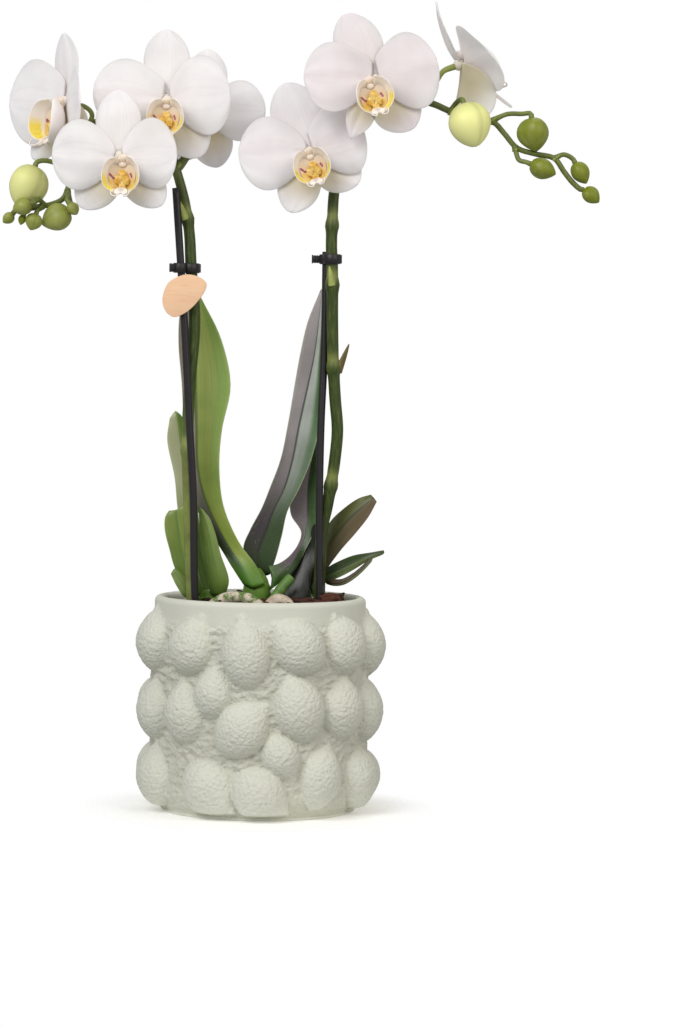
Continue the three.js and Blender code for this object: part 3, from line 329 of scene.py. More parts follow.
# Two flowers have pale pedicels, and that of one leaves the stem as thick as a branch
PEDICEL = Sizes(radius=1.2, around=12, steps=22, pale=("bloom_1", "bloom_7"), thick="bloom_4")
SPIKES = {
    "spike_left": Sizes(
        route=[
            (-32, -16, 84), (-33.4, -16, 109), (-35.4, -16.2, 153), (-36.4, -16.4, 184), (-35.4, -16.8, 213),
            (-33.6, -17.4, 241), (-35.6, -18.5, 268), (-36.6, -18, 284), (-39, -17.5, 299), (-42.5, -17, 312),
            (-46, -14, 322), (-52, -9, 331), (-62, -3, 338), (-73, 1, 341), (-84, 0, 339), (-92, -4, 330),
            (-95.5, -8, 317), (-96.3, -9.5, 308), (-99, -12, 300.5), (-104.6, -14, 297.5), (-110, -15.5, 296.5),
            (-114.5, -17, 295.3), (-119, -18, 294.6), (-122.2, -18.6, 293.6),
        ],
        rings=[178, 290.5], low_tone=0.55,
        bracts=[([(-38.0, -20.3, 290.6), (-40.2, -20.6, 296), (-42.4, -19.6, 301.5)], 2.4, 1.0)],
        pedicels={
            "bloom_1": [(-88, -1, 336), (-86, -1, 342)],
            "bloom_2": [(-76, 1, 341), (-75, -8, 337), (-72, -26, 325)],
            "bloom_3": [(-42.5, -16.5, 315), (-40, -15, 322), (-42, -14, 336)],
            "bloom_4": [(-43, -15.8, 316), (-38.5, -12, 322), (-36, -4, 326.5), (-34, 9, 331), (-32.5, 18, 338)],
            "bud_left_1": [(-96, -9, 312), (-100, -9.5, 316.5), (-108, -11, 319)],
            "bud_left_2": [(-97, -11, 305), (-95, -12, 298)],
            "bud_left_3": [(-97, -11, 304.5), (-96.5, -15, 301)],
            "bud_left_4": [(-108, -15, 297), (-110, -19, 299.5)],
            "bud_left_5": [(-109, -15.3, 296.7), (-110, -17.5, 295)],
            "bud_left_7": [(-115, -17.2, 295.2), (-117, -18.5, 294)],
        },
        last="bud_left_6",
    ),
    "spike_right": Sizes(
        route=[
            (29.5, -4, 84), (29.2, -4, 112), (30.2, -4.4, 140), (32.4, -5.5, 151), (34.4, -6.5, 163),
            (36, -7.5, 175), (37, -8, 189), (35.7, -8.6, 204), (34.4, -9.2, 223), (33.8, -10, 242),
            (33.4, -11, 268), (32.8, -11, 280), (33.1, -10.4, 292), (33.8, -9.5, 306), (36.8, -8, 322),
            (43.8, -7, 336), (52, -8, 346), (60, -9, 351), (70, -10, 351.5), (81, -11, 349.5), (92, -11, 345),
            (103, -11, 342), (111, -11, 341), (117, -11, 335), (123, -11, 328.4), (132, -11, 325.6),
            (141.5, -11, 323.5), (146, -11, 317.5), (150.5, -11, 312), (154.8, -11.8, 308.4),
        ],
        rings=[161, 219, 260, 289], low_tone=0.0,
        bracts=[
            ([(36.6, -9, 217), (39.4, -9, 224), (42.2, -8.8, 231.5)], 2.6, 2.0),
            ([(33.8, -13.0, 259.6), (33, -13.7, 264), (31.9, -13.5, 269.5)], 2.7, 1.0),
        ],
        pedicels={
            "bloom_5": [(36, -8.3, 317), (34, -7, 322), (27, -10, 324)],
            "bloom_6": [(62, -9.2, 351.3), (57, -14, 356)],
            "bloom_7": [(79, -11, 350), (80.5, -8, 356), (84, -2, 362)],
            "bud_right_1": [(90, -11, 345.5), (93, -13, 350)],
            "bud_right_2": [(110, -11, 341.2), (118, -11, 344.8), (125, -11.5, 345)],
            "bud_right_3": [(122, -11, 329), (124, -13, 322.5)],
            "bud_right_4": [(141.5, -11, 323.5), (146, -10.5, 325.5)],
        },
        last="bud_right_5",
    ),
}

# Rings of a clip: play round the stake or stem, how far out they reach, half their height, and where the grips start
CLIP = Sizes(play=0.25, outside=1.5, half=2.4, grip_start=2.6)
# Clips: height, where the stake and the stem pass through, and the finger tabs: foot, way and reach
CLIPS = {
    "clip_left": Sizes(
        height=267.2, stake=(-40.8, -22), stem=(-35.7, -18.5),
        tabs=[((-40.8, -22), (-0.9, -0.44), 5.2), ((-35.7, -18.5), (0.9, 0.44), 4.8)],
    ),
    "clip_right": Sizes(
        height=272.8, stake=(30.2, -5.6), stem=(33.2, -11),
        tabs=[((30.2, -5.6), (-1, 0), 7.0), ((33.2, -11), (1, 0.2), 4.6)],
    ),
}
TAG_OUTLINE = [(-49, 252.5), (-46.5, 259.5), (-41.6, 262.8), (-37, 264), (-31.3, 262.8), (-27.8, 260),
               (-28, 257), (-31, 252), (-35, 247.5), (-39.5, 244.3), (-43.5, 243.2), (-46.6, 245), (-48.6, 248.5)]
# The tag and the small clip behind it: its middle, how far behind the face, and its size
TAG = Sizes(face=-24.6, thickness=1.5, grip=(-40.2, 253), behind=1.6, grip_size=(6.0, 3.1, 7.0))

ROOTS = {
    "root_green": ([(-26, -23, 98), (-22, -24, 103.5), (-15, -25, 106.6), (-7, -26, 106.6), (-1, -28, 104),
                    (3, -30, 98)], 2.9),
    "root_pale": ([(2, -22, 98), (5, -21.5, 102.8), (9, -21, 105.4), (13, -21, 104), (18, -23, 98)], 3.2),
}
STUB = Sizes(
    route=[(5.5, -10.5, 90), (6.5, -10.5, 104), (9.5, -9.8, 109), (13, -8.5, 113.5), (15.5, -7.3, 116)], radius=2.5,
)

# The camera and the floor, in metres; the floor fades out between two distances from the middle of the pot
VIEW = Sizes(camera=(0.0386, -1.7, 0.2258), aim=(0.0386, 0.0, 0.1474), lens=120.38, roll=0.8)
FLOOR = Sizes(radius=0.55, fade_from=0.056, fade_to=0.095, glow=0.2)


# Settings that a user would change

def colour(name, description, code):
    return bpy.props.FloatVectorProperty(
        name=name, description=description, subtype="COLOR", size=4, min=0, max=1, default=hexa(code))


def length(name, description, millimetres):
    return bpy.props.FloatProperty(name=name, description=description, default=millimetres * MM, min=0, unit="LENGTH")


class OrchidPotSettings(bpy.types.PropertyGroup):
    glaze: colour("Glaze", "Matte grey-green of the cover pot", "D4D6C9")
    # The crease colour is painted shade, laid in the valleys between the lemons and round the foot.
    crease_shade: colour("Creases", "Warmer grey in the creases between the lemons", "A8A694")
    wrinkle: length("Wrinkles", "Height of the wrinkles in the lemons' skin", LEMON.wrinkle)
    nursery: colour("Nursery pot", "Brown of the thin nursery pot", "5A3D2E")
    bark_light: colour("Bark, light", "Lighter bark chips", "7E4A34")
    bark_dark: colour("Bark, dark", "Darker bark chips", "3A2018")
    chips: bpy.props.IntProperty(name="Bark chips", description="Number of bark chips", default=210, min=0, max=400)


class OrchidFlowerSettings(bpy.types.PropertyGroup):
    petal: colour("Petals", "Warm white of the petals", "F7F3F5")
    # The petal shade colour is partly painted shade; each bloom's tint and random clouds mix it in, not the hollows.
    petal_shade: colour("Petal shade", "Pinkish grey in the hollows of the petals", "E2D6DA")
    sepal_base: colour("Sepal base", "Khaki cream at the foot of the sepals", "D8CCA6")
    # The beige of the lip's inside is partly painted shade inside the ring of the lip.
    lip: colour("Lip rim", "White rim of the lip", "FBF3EF")
    lip_inside_shade: colour("Lip inside", "Beige inside of the lip", "E4D3C2")
    lip_yellow: colour("Lip yellow", "Yellow of the lip's lower sides", "F9E464")
    callus: colour("Callus", "Gold of the bump in the lip", "D9A63C")
    streak: colour("Streaks", "Purple brown streaks inside the lip", "985F5C")
    thickness: length("Petal thickness", "Thickness of a petal at its middle", 1.0)


class OrchidGreenSettings(bpy.types.PropertyGroup):
    stem: colour("Stem", "Green of the flower stems", "34450F")
    stem_pale: colour("Stem, pale", "Yellow green of young stem parts", "A4AE5C")
    bud: colour("Bud", "Green of a young bud", "76800F")
    bud_ripe: colour("Ripe bud", "Pale green of a bud about to open", "F2F2A4")
    crown: colour("Crown", "Bright green of the crowns", "4C7620")
    leaf_rib: length("Leaf thickness", "Thickness of a leaf along its rib", LEAF.rib)


class OrchidFittingSettings(bpy.types.PropertyGroup):
    plastic: colour("Stakes and clips", "Dark plastic of the stakes and clips", "1F1B1E")
    wood: colour("Tag", "Bare light wood of the tag", "F0C6A0")
    root_green: colour("Green root", "Green of the mottled root", "5E7A3A")
    root_pale: colour("Pale root", "Dry silvery skin of a root", "CFC3B2")


class OrchidStageSettings(bpy.types.PropertyGroup):
    floor: colour("Floor", "Pale floor", "F6F6F4")
    key_power: bpy.props.FloatProperty(
        name="Key light", description="Power of the key light", default=19.5, unit="POWER")
    fill_power: bpy.props.FloatProperty(
        name="Fill light", description="Power of the fill light", default=10, unit="POWER")
    ambient: bpy.props.FloatProperty(name="Ambient", description="Strength of the light from all around", default=0.4)


# Curves and meshes

def smoothstep(value, low, high):
    share = min(max((value - low) / (high - low), 0.0), 1.0)
    return share * share * (3 - 2 * share)


def curve_point(points, share):
    """A point of the smooth curve through the points, by its share of their number (centripetal Catmull-Rom)."""
    last = len(points) - 1
    step = min(int(share * last), last - 1)
    weight = share * last - step
    b, c = points[step], points[step + 1]
    a = points[step - 1] if step > 0 else 2 * b - c
    d = points[step + 2] if step + 2 <= last else 2 * c - b
    gaps = [max((q - p).length, 1e-6) ** 0.5 for p, q in ((a, b), (b, c), (c, d))]
    leave = ((b - a) / gaps[0] - (c - a) / (gaps[0] + gaps[1]) + (c - b) / gaps[1]) * gaps[1]
    arrive = ((c - b) / gaps[1] - (d - b) / (gaps[1] + gaps[2]) + (d - c) / gaps[2]) * gaps[1]
    return (b + leave * weight + (-3 * b + 3 * c - 2 * leave - arrive) * weight ** 2
            + (2 * b - 2 * c + leave + arrive) * weight ** 3)


CURVE_SAMPLES = 400
CAP_ROWS = 5


def follow(points, shares):
    """Place and two cross directions of the smooth curve through the points, at each share of its length."""
    points = [Vector(p) for p in points]
    samples = [curve_point(points, i / CURVE_SAMPLES) for i in range(CURVE_SAMPLES + 1)]
    lengths = [0.0]
    for a, b in zip(samples, samples[1:]):
        lengths.append(lengths[-1] + (b - a).length)
    frames = []
    side = None
    index = 0
    for share in shares:
        target = share * lengths[-1]
        while index < CURVE_SAMPLES - 1 and lengths[index + 1] < target:
            index += 1
        step = (target - lengths[index]) / max(lengths[index + 1] - lengths[index], 1e-9)
        forward = (samples[index + 1] - samples[index]).normalized()
        if side is None:
            side = forward.orthogonal()
        side = (side - forward * side.dot(forward)).normalized()
        frames.append((samples[index].lerp(samples[index + 1], step), side, forward.cross(side)))
    return frames


TRAITS = ("across", "side", "along", "tone")


def fresh_mesh():
    """An empty mesh under construction, with the attributes that the finishes read."""
    bm = bmesh.new()
    for trait in TRAITS:
        bm.verts.layers.float.new(trait)
    return bm


def lay_grid(bm, columns, rows, place, tone_at=None):
    """Adds a grid with each vertex put at place(turn, along), both from 0 to 1, and kept in its attributes."""
    across, side, along_layer, tone = [bm.verts.layers.float[trait] for trait in TRAITS]
    verts = bmesh.ops.create_grid(bm, x_segments=columns, y_segments=rows, size=0.5)["verts"]
    for vert in verts:
        turn, along = vert.co.x + 0.5, vert.co.y + 0.5
        vert[across] = math.cos(FULL_TURN * turn)
        vert[side] = math.sin(FULL_TURN * turn)
        vert[along_layer] = along
        if tone_at:
            vert[tone] = tone_at(turn, along)
        vert.co = place(turn, along)
    return verts


def rounded(along, share):
    """How thick a blade still is near either end, when its last share of the length is rounded off."""
    near = min(along, 1 - along) / share
    return 1.0 if near >= 1 else math.sqrt(max(1 - (1 - near) ** 2, 0.0))


def blade(bm, surface, thickness, around, rows, outward=1, tone=0.0):
    """A thin closed blade wrapped round surface(across from -1 to 1, along from 0 to 1), with round edges."""
    step = 0.02

    def normal_at(across, along):
        u = min(max(across, -0.96), 0.96)
        v = min(max(along, 0.03), 0.95)
        wide = surface(u + step, v) - surface(u - step, v)
        long = surface(u, v + step) - surface(u, v - step)
        return wide.cross(long).normalized()

    def place(turn, along):
        angle = FULL_TURN * turn
        across = math.cos(angle)
        offset = 0.5 * outward * thickness(across, along) * math.sin(angle)
        return surface(across, along) + normal_at(across, along) * offset

    return lay_grid(bm, around, rows, place, lambda turn, along: tone)


def tube(bm, points, radius_at, around, steps, caps=(0.0, 0.0), tone_at=None):
    """A round stem along the curve through the points; radius_at(along, angle) may shape its section.

    A cap rounds the end over that share of the length, and an end with no cap is cut flat."""
    cap = [(1 - math.cos(a), math.sin(a)) for a in [0.5 * math.pi * k / CAP_ROWS for k in range(CAP_ROWS)]]
    first, last = caps
    rows = [(first * inward, wide) for inward, wide in cap] if first else []
    rows += [(first + (1 - first - last) * k / steps, 1.0) for k in range(steps + 1)]
    if last:
        rows += [(1 - last * inward, wide) for inward, wide in reversed(cap)]
    frames = follow(points, [share for share, _ in rows])

    def place(turn, along):
        row = round(along * (len(rows) - 1))
        share, shrink = rows[row]
        centre, side, other = frames[row]
        angle = FULL_TURN * turn
        return centre + (side * math.cos(angle) + other * math.sin(angle)) * radius_at(share, angle) * shrink

    verts = lay_grid(bm, around, len(rows) - 1, place)
    along_layer, tone = bm.verts.layers.float["along"], bm.verts.layers.float["tone"]
    for vert in verts:
        share, _ = rows[round(vert[along_layer] * (len(rows) - 1))]
        vert[along_layer] = share
        vert[tone] = tone_at(share) if tone_at else 0.0
    return verts


def lathe(bm, profile, steps):
    """A profile of (radius, height) pairs spun round the upright axis."""
    verts = [bm.verts.new((r, 0, z)) for r, z in profile]
    edges = [bm.edges.new(pair) for pair in zip(verts, verts[1:])]
    bmesh.ops.spin(bm, geom=verts + edges, cent=(0, 0, 0), axis=(0, 0, 1), angle=FULL_TURN, steps=steps,
                   use_merge=True)


def lump(bm, centre, radii, tone=0.0, turn=None, squareness=1.0, roughness=0.0, detail=2):
    """A small rounded body; squareness below 1 makes it blocky and roughness makes it uneven."""
    verts = bmesh.ops.create_icosphere(bm, subdivisions=detail, radius=1.0)["verts"]
    layer = bm.verts.layers.float["tone"]
    centre = Vector(centre)
    for vert in verts:
        shape = Vector([math.copysign(abs(c) ** squareness * r, c) for c, r in zip(vert.co, radii)])
        if roughness:
            shape *= 1 + roughness * noise.noise(vert.co * 1.6 + centre * 0.7)
        if turn:
            shape.rotate(turn)
        vert.co = centre + shape
        vert[layer] = tone
    return verts


def bevel(bm, edges, offset, segments=2):
    bmesh.ops.bevel(bm, geom=edges, offset=offset, segments=segments, profile=0.5, affect="EDGES", material=-1)


def finish_piece(name, bm, material, slot, *nodes, smooth=True):
    """Closes the mesh, brings it to metres and hands it over as a piece that stands for these CAD nodes."""
    bmesh.ops.remove_doubles(bm, verts=bm.verts, dist=WELD)
    loose = [v for v in bm.verts if not v.link_faces]
    bmesh.ops.delete(bm, geom=loose, context="VERTS")
    bmesh.ops.holes_fill(bm, edges=[e for e in bm.edges if e.is_boundary], sides=0)
    bmesh.ops.recalc_face_normals(bm, faces=bm.faces)
    bmesh.ops.scale(bm, vec=(MM, MM, MM), verts=bm.verts)
    mesh = bpy.data.meshes.new(name)
    bm.to_mesh(mesh)
    bm.free()
    mesh.polygons.foreach_set("use_smooth", [smooth] * len(mesh.polygons))
    mesh.materials.append(material)
    piece = bpy.data.objects.new(name, mesh)
    bpy.context.scene.collection.objects.link(piece)
    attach(piece, "root")
    if nodes:
        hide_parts(*nodes)
    return piece


# Materials

# Sockets of a Mix node that blends colours: its factor, both colours and its result
FACTOR, FIRST, SECOND, BLENDED = 0, 6, 7, 2


def add(tree, kind, inputs=None, **settings):
    """Adds one shader node with its settings, and with its inputs set or linked."""
    node = tree.nodes.new("ShaderNode" + kind)
    for key, value in settings.items():
        setattr(node, key, value)
    for key, value in (inputs or {}).items():
        if isinstance(value, bpy.types.NodeSocket):
            tree.links.new(value, node.inputs[key])
        else:
            node.inputs[key].default_value = value
    return node


def per_mm(size):
    """Texture scale on Object coordinates, in metres, whose features are this many millimetres across."""
    return 1 / (size * MM)


def start_material(name, sockets):
    """A new material and its node tree, with these constants on its shader."""
    material = bpy.data.materials.new(name)
    material.use_nodes = True
    tree = material.node_tree
    for socket, value in sockets.items():
        tree.nodes["Principled BSDF"].inputs[socket].default_value = value
    return material, tree


def dressed(material, mixed, rough=None, height=None, strength=0.0, depth=0.0):
    """Gives the material's shader its mixed colour, its roughness, and fine relief from a height, in millimetres."""
    tree = material.node_tree
    shader = tree.nodes["Principled BSDF"]
    tree.links.new(mixed.outputs[BLENDED], shader.inputs["Base Color"])
    if rough is not None:
        tree.links.new(rough.outputs[0], shader.inputs["Roughness"])
    if height is not None:
        bump = add(tree, "Bump", {"Height": height, "Strength": strength, "Distance": depth * MM})
        tree.links.new(bump.outputs["Normal"], shader.inputs["Normal"])
    return material


def matte_glazed_earthenware(settings):
    """Slip-cast earthenware under a matte glaze: chalky, with dimpled skin, and a warmer darker grey painted as shade
    in the creases and at the foot.
    """
    material, tree = start_material("Matte glazed earthenware", {"IOR": 1.5, "Specular IOR Level": 0.35})
    place = add(tree, "TexCoord").outputs["Object"]
    # Painted shade: the tone attribute darkens the glaze towards the crease colour in the valleys between the lemons
    # and at the foot.
    crease_shade = add(tree, "Attribute", attribute_name="tone").outputs["Fac"]
    relief = add(tree, "Attribute", attribute_name="side").outputs["Fac"]
    cloud = add(tree, "TexNoise", {"Vector": place, "Scale": per_mm(26), "Detail": 3.0}).outputs["Fac"]
    speck = add(tree, "TexNoise", {"Vector": place, "Scale": per_mm(1.1), "Detail": 5.0,
                                   "Roughness": 0.7}).outputs["Fac"]
    base = add(tree, "Mix", {FACTOR: crease_shade, FIRST: settings.glaze, SECOND: settings.crease_shade}, data_type="RGBA")
    cloudy = add(tree, "MapRange", {"Value": cloud, "From Min": 0.35, "From Max": 0.7, "To Max": 0.16}).outputs[0]
    warm = add(tree, "Mix", {FACTOR: cloudy, FIRST: base.outputs[BLENDED], SECOND: hexa("C6BFAE")}, data_type="RGBA")
    # Paler flecks where the fine grit noise is high, the same noise that raises the grit in the relief.
    grit_flecks = add(tree, "MapRange", {"Value": speck, "From Min": 0.5, "From Max": 0.8, "To Max": 0.3}).outputs[0]
    pale = add(tree, "Mix", {FACTOR: grit_flecks, FIRST: warm.outputs[BLENDED], SECOND: hexa("E9EADF")}, data_type="RGBA")
    rough = add(tree, "MapRange", {"Value": speck, "From Min": 0.3, "From Max": 0.7, "To Min": 0.62, "To Max": 0.85})
    bent = add(tree, "TexNoise", {"Vector": place, "Scale": per_mm(4), "Detail": 1.0}).outputs["Color"]
    shifted = add(tree, "VectorMath", {0: bent, 1: (2 * MM, 2 * MM, 2 * MM)}, operation="MULTIPLY").outputs["Vector"]
    warped = add(tree, "VectorMath", {0: place, 1: shifted}, operation="ADD").outputs["Vector"]
    pebble = add(tree, "TexVoronoi", {"Vector": warped, "Scale": per_mm(1.8), "Smoothness": 0.35},
                 feature="SMOOTH_F1")
    pebbles = add(tree, "Math", {0: pebble.outputs["Distance"], 1: -1.0}, operation="MULTIPLY").outputs[0]
    raised = add(tree, "Math", {0: pebbles, 1: relief}, operation="MULTIPLY").outputs[0]
    grit = add(tree, "Math", {0: speck, 1: 0.14}, operation="MULTIPLY").outputs[0]
    skin = add(tree, "Math", {0: raised, 1: grit}, operation="ADD").outputs[0]
    return dressed(material, pale, rough, height=skin, strength=0.85, depth=0.7)


def moulded_polypropylene(name, base_colour, roughness):
    """Injection-moulded polypropylene: satin, with faint flow marks."""
    material, tree = start_material(name, {"IOR": 1.49})
    place = add(tree, "TexCoord").outputs["Object"]
    cloud = add(tree, "TexNoise", {"Vector": place, "Scale": per_mm(5), "Detail": 4.0}).outputs["Fac"]
    shade = tuple(c * 0.7 for c in base_colour[:3]) + (1.0,)
    mottled = add(tree, "Mix", {FACTOR: cloud, FIRST: base_colour, SECOND: shade}, data_type="RGBA")
    rough = add(tree, "MapRange", {"Value": cloud, "To Min": roughness - 0.08, "To Max": roughness + 0.12})
    return dressed(material, mottled, rough, height=cloud, strength=0.12, depth=0.3)


def pine_bark(settings):
    """Composted pine bark in chips: fibrous layers, from red brown to nearly black, dull and damp."""
    material, tree = start_material("Composted pine bark", {"IOR": 1.45, "Specular IOR Level": 0.4})
    place = add(tree, "TexCoord").outputs["Object"]
    tone = add(tree, "Attribute", attribute_name="tone").outputs["Fac"]
    layers = add(tree, "Mapping", {"Vector": place, "Scale": (1.0, 1.0, 3.5)}).outputs[0]
    fibre = add(tree, "TexNoise", {"Vector": layers, "Scale": per_mm(2.4), "Detail": 6.0,
                                   "Roughness": 0.65}).outputs["Fac"]
    chip = add(tree, "Mix", {FACTOR: tone, FIRST: settings.bark_dark, SECOND: settings.bark_light}, data_type="RGBA")
    dark = add(tree, "Mix", {FACTOR: fibre, FIRST: chip.outputs[BLENDED], SECOND: hexa("1E120D")}, data_type="RGBA")
    rough = add(tree, "MapRange", {"Value": fibre, "To Min": 0.65, "To Max": 0.95})
    return dressed(material, dark, rough, height=fibre, strength=0.9, depth=0.9)


def root_skin(name, wet, dry):
    """Velamen, the spongy skin of an aerial root: matte silver where dry, green where it is wet."""
    material, tree = start_material(name, {"IOR": 1.4, "Roughness": 0.75, "Specular IOR Level": 0.3})
    place = add(tree, "TexCoord").outputs["Object"]
    patch = add(tree, "TexNoise", {"Vector": place, "Scale": per_mm(4.5), "Detail": 5.0,
                                   "Roughness": 0.7}).outputs["Fac"]
    wetness = add(tree, "MapRange", {"Value": patch, "From Min": 0.44, "From Max": 0.56}).outputs[0]
    skin = add(tree, "Mix", {FACTOR: wetness, FIRST: wet, SECOND: dry}, data_type="RGBA")
    return dressed(material, skin, height=patch, strength=0.5, depth=0.5)


def waxy_leaf(name, codes):
    """A thick waxy leaf: satin cuticle over fine lengthwise veins, painted shade along the grooved rib, a thin pale
    margin.
    """
    left_low, left_high, right_low, right_high_and_sheen, outer, back, groove, margin, foot = [hexa(code) for code in codes]
    material, tree = start_material(
        name, {"IOR": 1.45, "Coat Weight": 0.25, "Coat Roughness": 0.3, "Subsurface Weight": 0.08,
               "Subsurface Scale": 1.5 * MM, "Subsurface Radius": (0.8, 1.0, 0.4)})
    place = add(tree, "TexCoord").outputs["Object"]
    across, along, side = [add(tree, "Attribute", attribute_name=trait).outputs["Fac"]
                           for trait in ("across", "along", "side")]
    right_half = add(tree, "MapRange", {"Value": across, "From Min": -0.12, "From Max": 0.12},
                     interpolation_type="SMOOTHSTEP").outputs[0]
    high = add(tree, "MapRange", {"Value": along, "From Min": 0.2, "From Max": 0.7}, interpolation_type="SMOOTHSTEP")
    left = add(tree, "Mix", {FACTOR: high.outputs[0], FIRST: left_low, SECOND: left_high}, data_type="RGBA")
    # On the centre right leaf the high right colour is a painted silver sheen near the rib.
    right = add(tree, "Mix", {FACTOR: high.outputs[0], FIRST: right_low, SECOND: right_high_and_sheen}, data_type="RGBA")
    far_out = add(tree, "MapRange", {"Value": across, "From Min": 0.5, "From Max": 0.8},
                  interpolation_type="SMOOTHSTEP")
    far_high = add(tree, "Math", {0: far_out.outputs[0], 1: high.outputs[0]}, operation="MULTIPLY").outputs[0]
    outward = add(tree, "Mix", {FACTOR: far_high, FIRST: right.outputs[BLENDED], SECOND: outer}, data_type="RGBA")
    front = add(tree, "Mix", {FACTOR: right_half, FIRST: left.outputs[BLENDED], SECOND: outward.outputs[BLENDED]},
                data_type="RGBA")
    in_front = add(tree, "MapRange", {"Value": side, "From Min": -0.15, "From Max": 0.05}).outputs[0]
    face = add(tree, "Mix", {FACTOR: in_front, FIRST: back, SECOND: front.outputs[BLENDED]}, data_type="RGBA")
    out = add(tree, "Math", {0: across}, operation="ABSOLUTE").outputs[0]
    # Painted shade: the groove colour darkens the blade along its rib.
    near_rib = add(tree, "MapRange", {"Value": out, "From Min": 0.03, "From Max": 0.14, "To Min": 0.8, "To Max": 0.0},
                   interpolation_type="SMOOTHSTEP").outputs[0]
    ribbed = add(tree, "Mix", {FACTOR: near_rib, FIRST: face.outputs[BLENDED], SECOND: groove}, data_type="RGBA")
    near_edge = add(tree, "MapRange", {"Value": out, "From Min": 0.955, "From Max": 0.99, "To Max": 0.8}).outputs[0]
    edged = add(tree, "Mix", {FACTOR: near_edge, FIRST: ribbed.outputs[BLENDED], SECOND: margin}, data_type="RGBA")
    near_foot = add(tree, "MapRange", {"Value": along, "From Min": 0.02, "From Max": 0.2,
                                       "To Min": 0.9, "To Max": 0.0},
                    interpolation_type="SMOOTHSTEP").outputs[0]
    footed = add(tree, "Mix", {FACTOR: near_foot, FIRST: edged.outputs[BLENDED], SECOND: foot}, data_type="RGBA")
    lines = add(tree, "CombineXYZ", {"X": across, "Y": along}).outputs[0]
    stretched = add(tree, "Mapping", {"Vector": lines, "Scale": (22.0, 1.6, 1.0)}).outputs[0]
    vein = add(tree, "TexNoise", {"Vector": stretched, "Scale": 1.0, "Detail": 3.0}).outputs["Fac"]
    veined = add(tree, "MapRange", {"Value": vein, "From Min": 0.4, "From Max": 0.75, "To Max": 0.22}).outputs[0]
    pale = add(tree, "Mix", {FACTOR: veined, FIRST: footed.outputs[BLENDED], SECOND: (2.0, 2.0, 1.8, 1.0)},
               data_type="RGBA", blend_type="MULTIPLY")
    fleck = add(tree, "TexNoise", {"Vector": place, "Scale": per_mm(0.9), "Detail": 2.0}).outputs["Fac"]
    flecks = add(tree, "MapRange", {"Value": fleck, "From Min": 0.66, "From Max": 0.72, "To Max": 0.22}).outputs[0]
    flecked = add(tree, "Mix", {FACTOR: flecks, FIRST: pale.outputs[BLENDED], SECOND: margin}, data_type="RGBA")
    cloud = add(tree, "TexNoise", {"Vector": place, "Scale": per_mm(14), "Detail": 3.0}).outputs["Fac"]
    clouds = add(tree, "MapRange", {"Value": cloud, "From Min": 0.45, "From Max": 0.75, "To Max": 0.25}).outputs[0]
    mottled = add(tree, "Mix", {FACTOR: clouds, FIRST: flecked.outputs[BLENDED], SECOND: foot}, data_type="RGBA")
    rough = add(tree, "MapRange", {"Value": cloud, "To Min": 0.34, "To Max": 0.5})
    return dressed(material, mottled, rough, height=vein, strength=0.35, depth=0.25)


def living_stem(name, green, pale, dark_code="26320F"):
    """A fresh fleshy stem: satin skin with fine lengthwise lines, yellow green where tone is high."""
    material, tree = start_material(
        name, {"IOR": 1.45, "Subsurface Weight": 0.1, "Subsurface Scale": 1.2 * MM,
               "Subsurface Radius": (0.5, 1.0, 0.2)})
    place = add(tree, "TexCoord").outputs["Object"]
    tone = add(tree, "Attribute", attribute_name="tone").outputs["Fac"]
    long = add(tree, "Mapping", {"Vector": place, "Scale": (1.0, 1.0, 0.12)}).outputs[0]
    line = add(tree, "TexNoise", {"Vector": long, "Scale": per_mm(0.8), "Detail": 3.0}).outputs["Fac"]
    cloud = add(tree, "TexNoise", {"Vector": place, "Scale": per_mm(7), "Detail": 3.0}).outputs["Fac"]
    base = add(tree, "Mix", {FACTOR: tone, FIRST: green, SECOND: pale}, data_type="RGBA")
    lines = add(tree, "MapRange", {"Value": line, "From Min": 0.45, "From Max": 0.75, "To Max": 0.18}).outputs[0]
    dryness = add(tree, "MapRange", {"Value": tone, "From Min": 1.2, "From Max": 1.8}).outputs[0]
    dried = add(tree, "Mix", {FACTOR: dryness, FIRST: base.outputs[BLENDED], SECOND: hexa("6A5A30")},
                data_type="RGBA")
    lined = add(tree, "Mix", {FACTOR: lines, FIRST: dried.outputs[BLENDED], SECOND: pale}, data_type="RGBA")
    clouds = add(tree, "MapRange", {"Value": cloud, "From Min": 0.4, "From Max": 0.8, "To Max": 0.45}).outputs[0]
    mottled = add(tree, "Mix", {FACTOR: clouds, FIRST: lined.outputs[BLENDED], SECOND: hexa(dark_code)},
                  data_type="RGBA")
    rough = add(tree, "MapRange", {"Value": line, "To Min": 0.36, "To Max": 0.52})
    return dressed(material, mottled, rough, height=line, strength=0.25, depth=0.2)


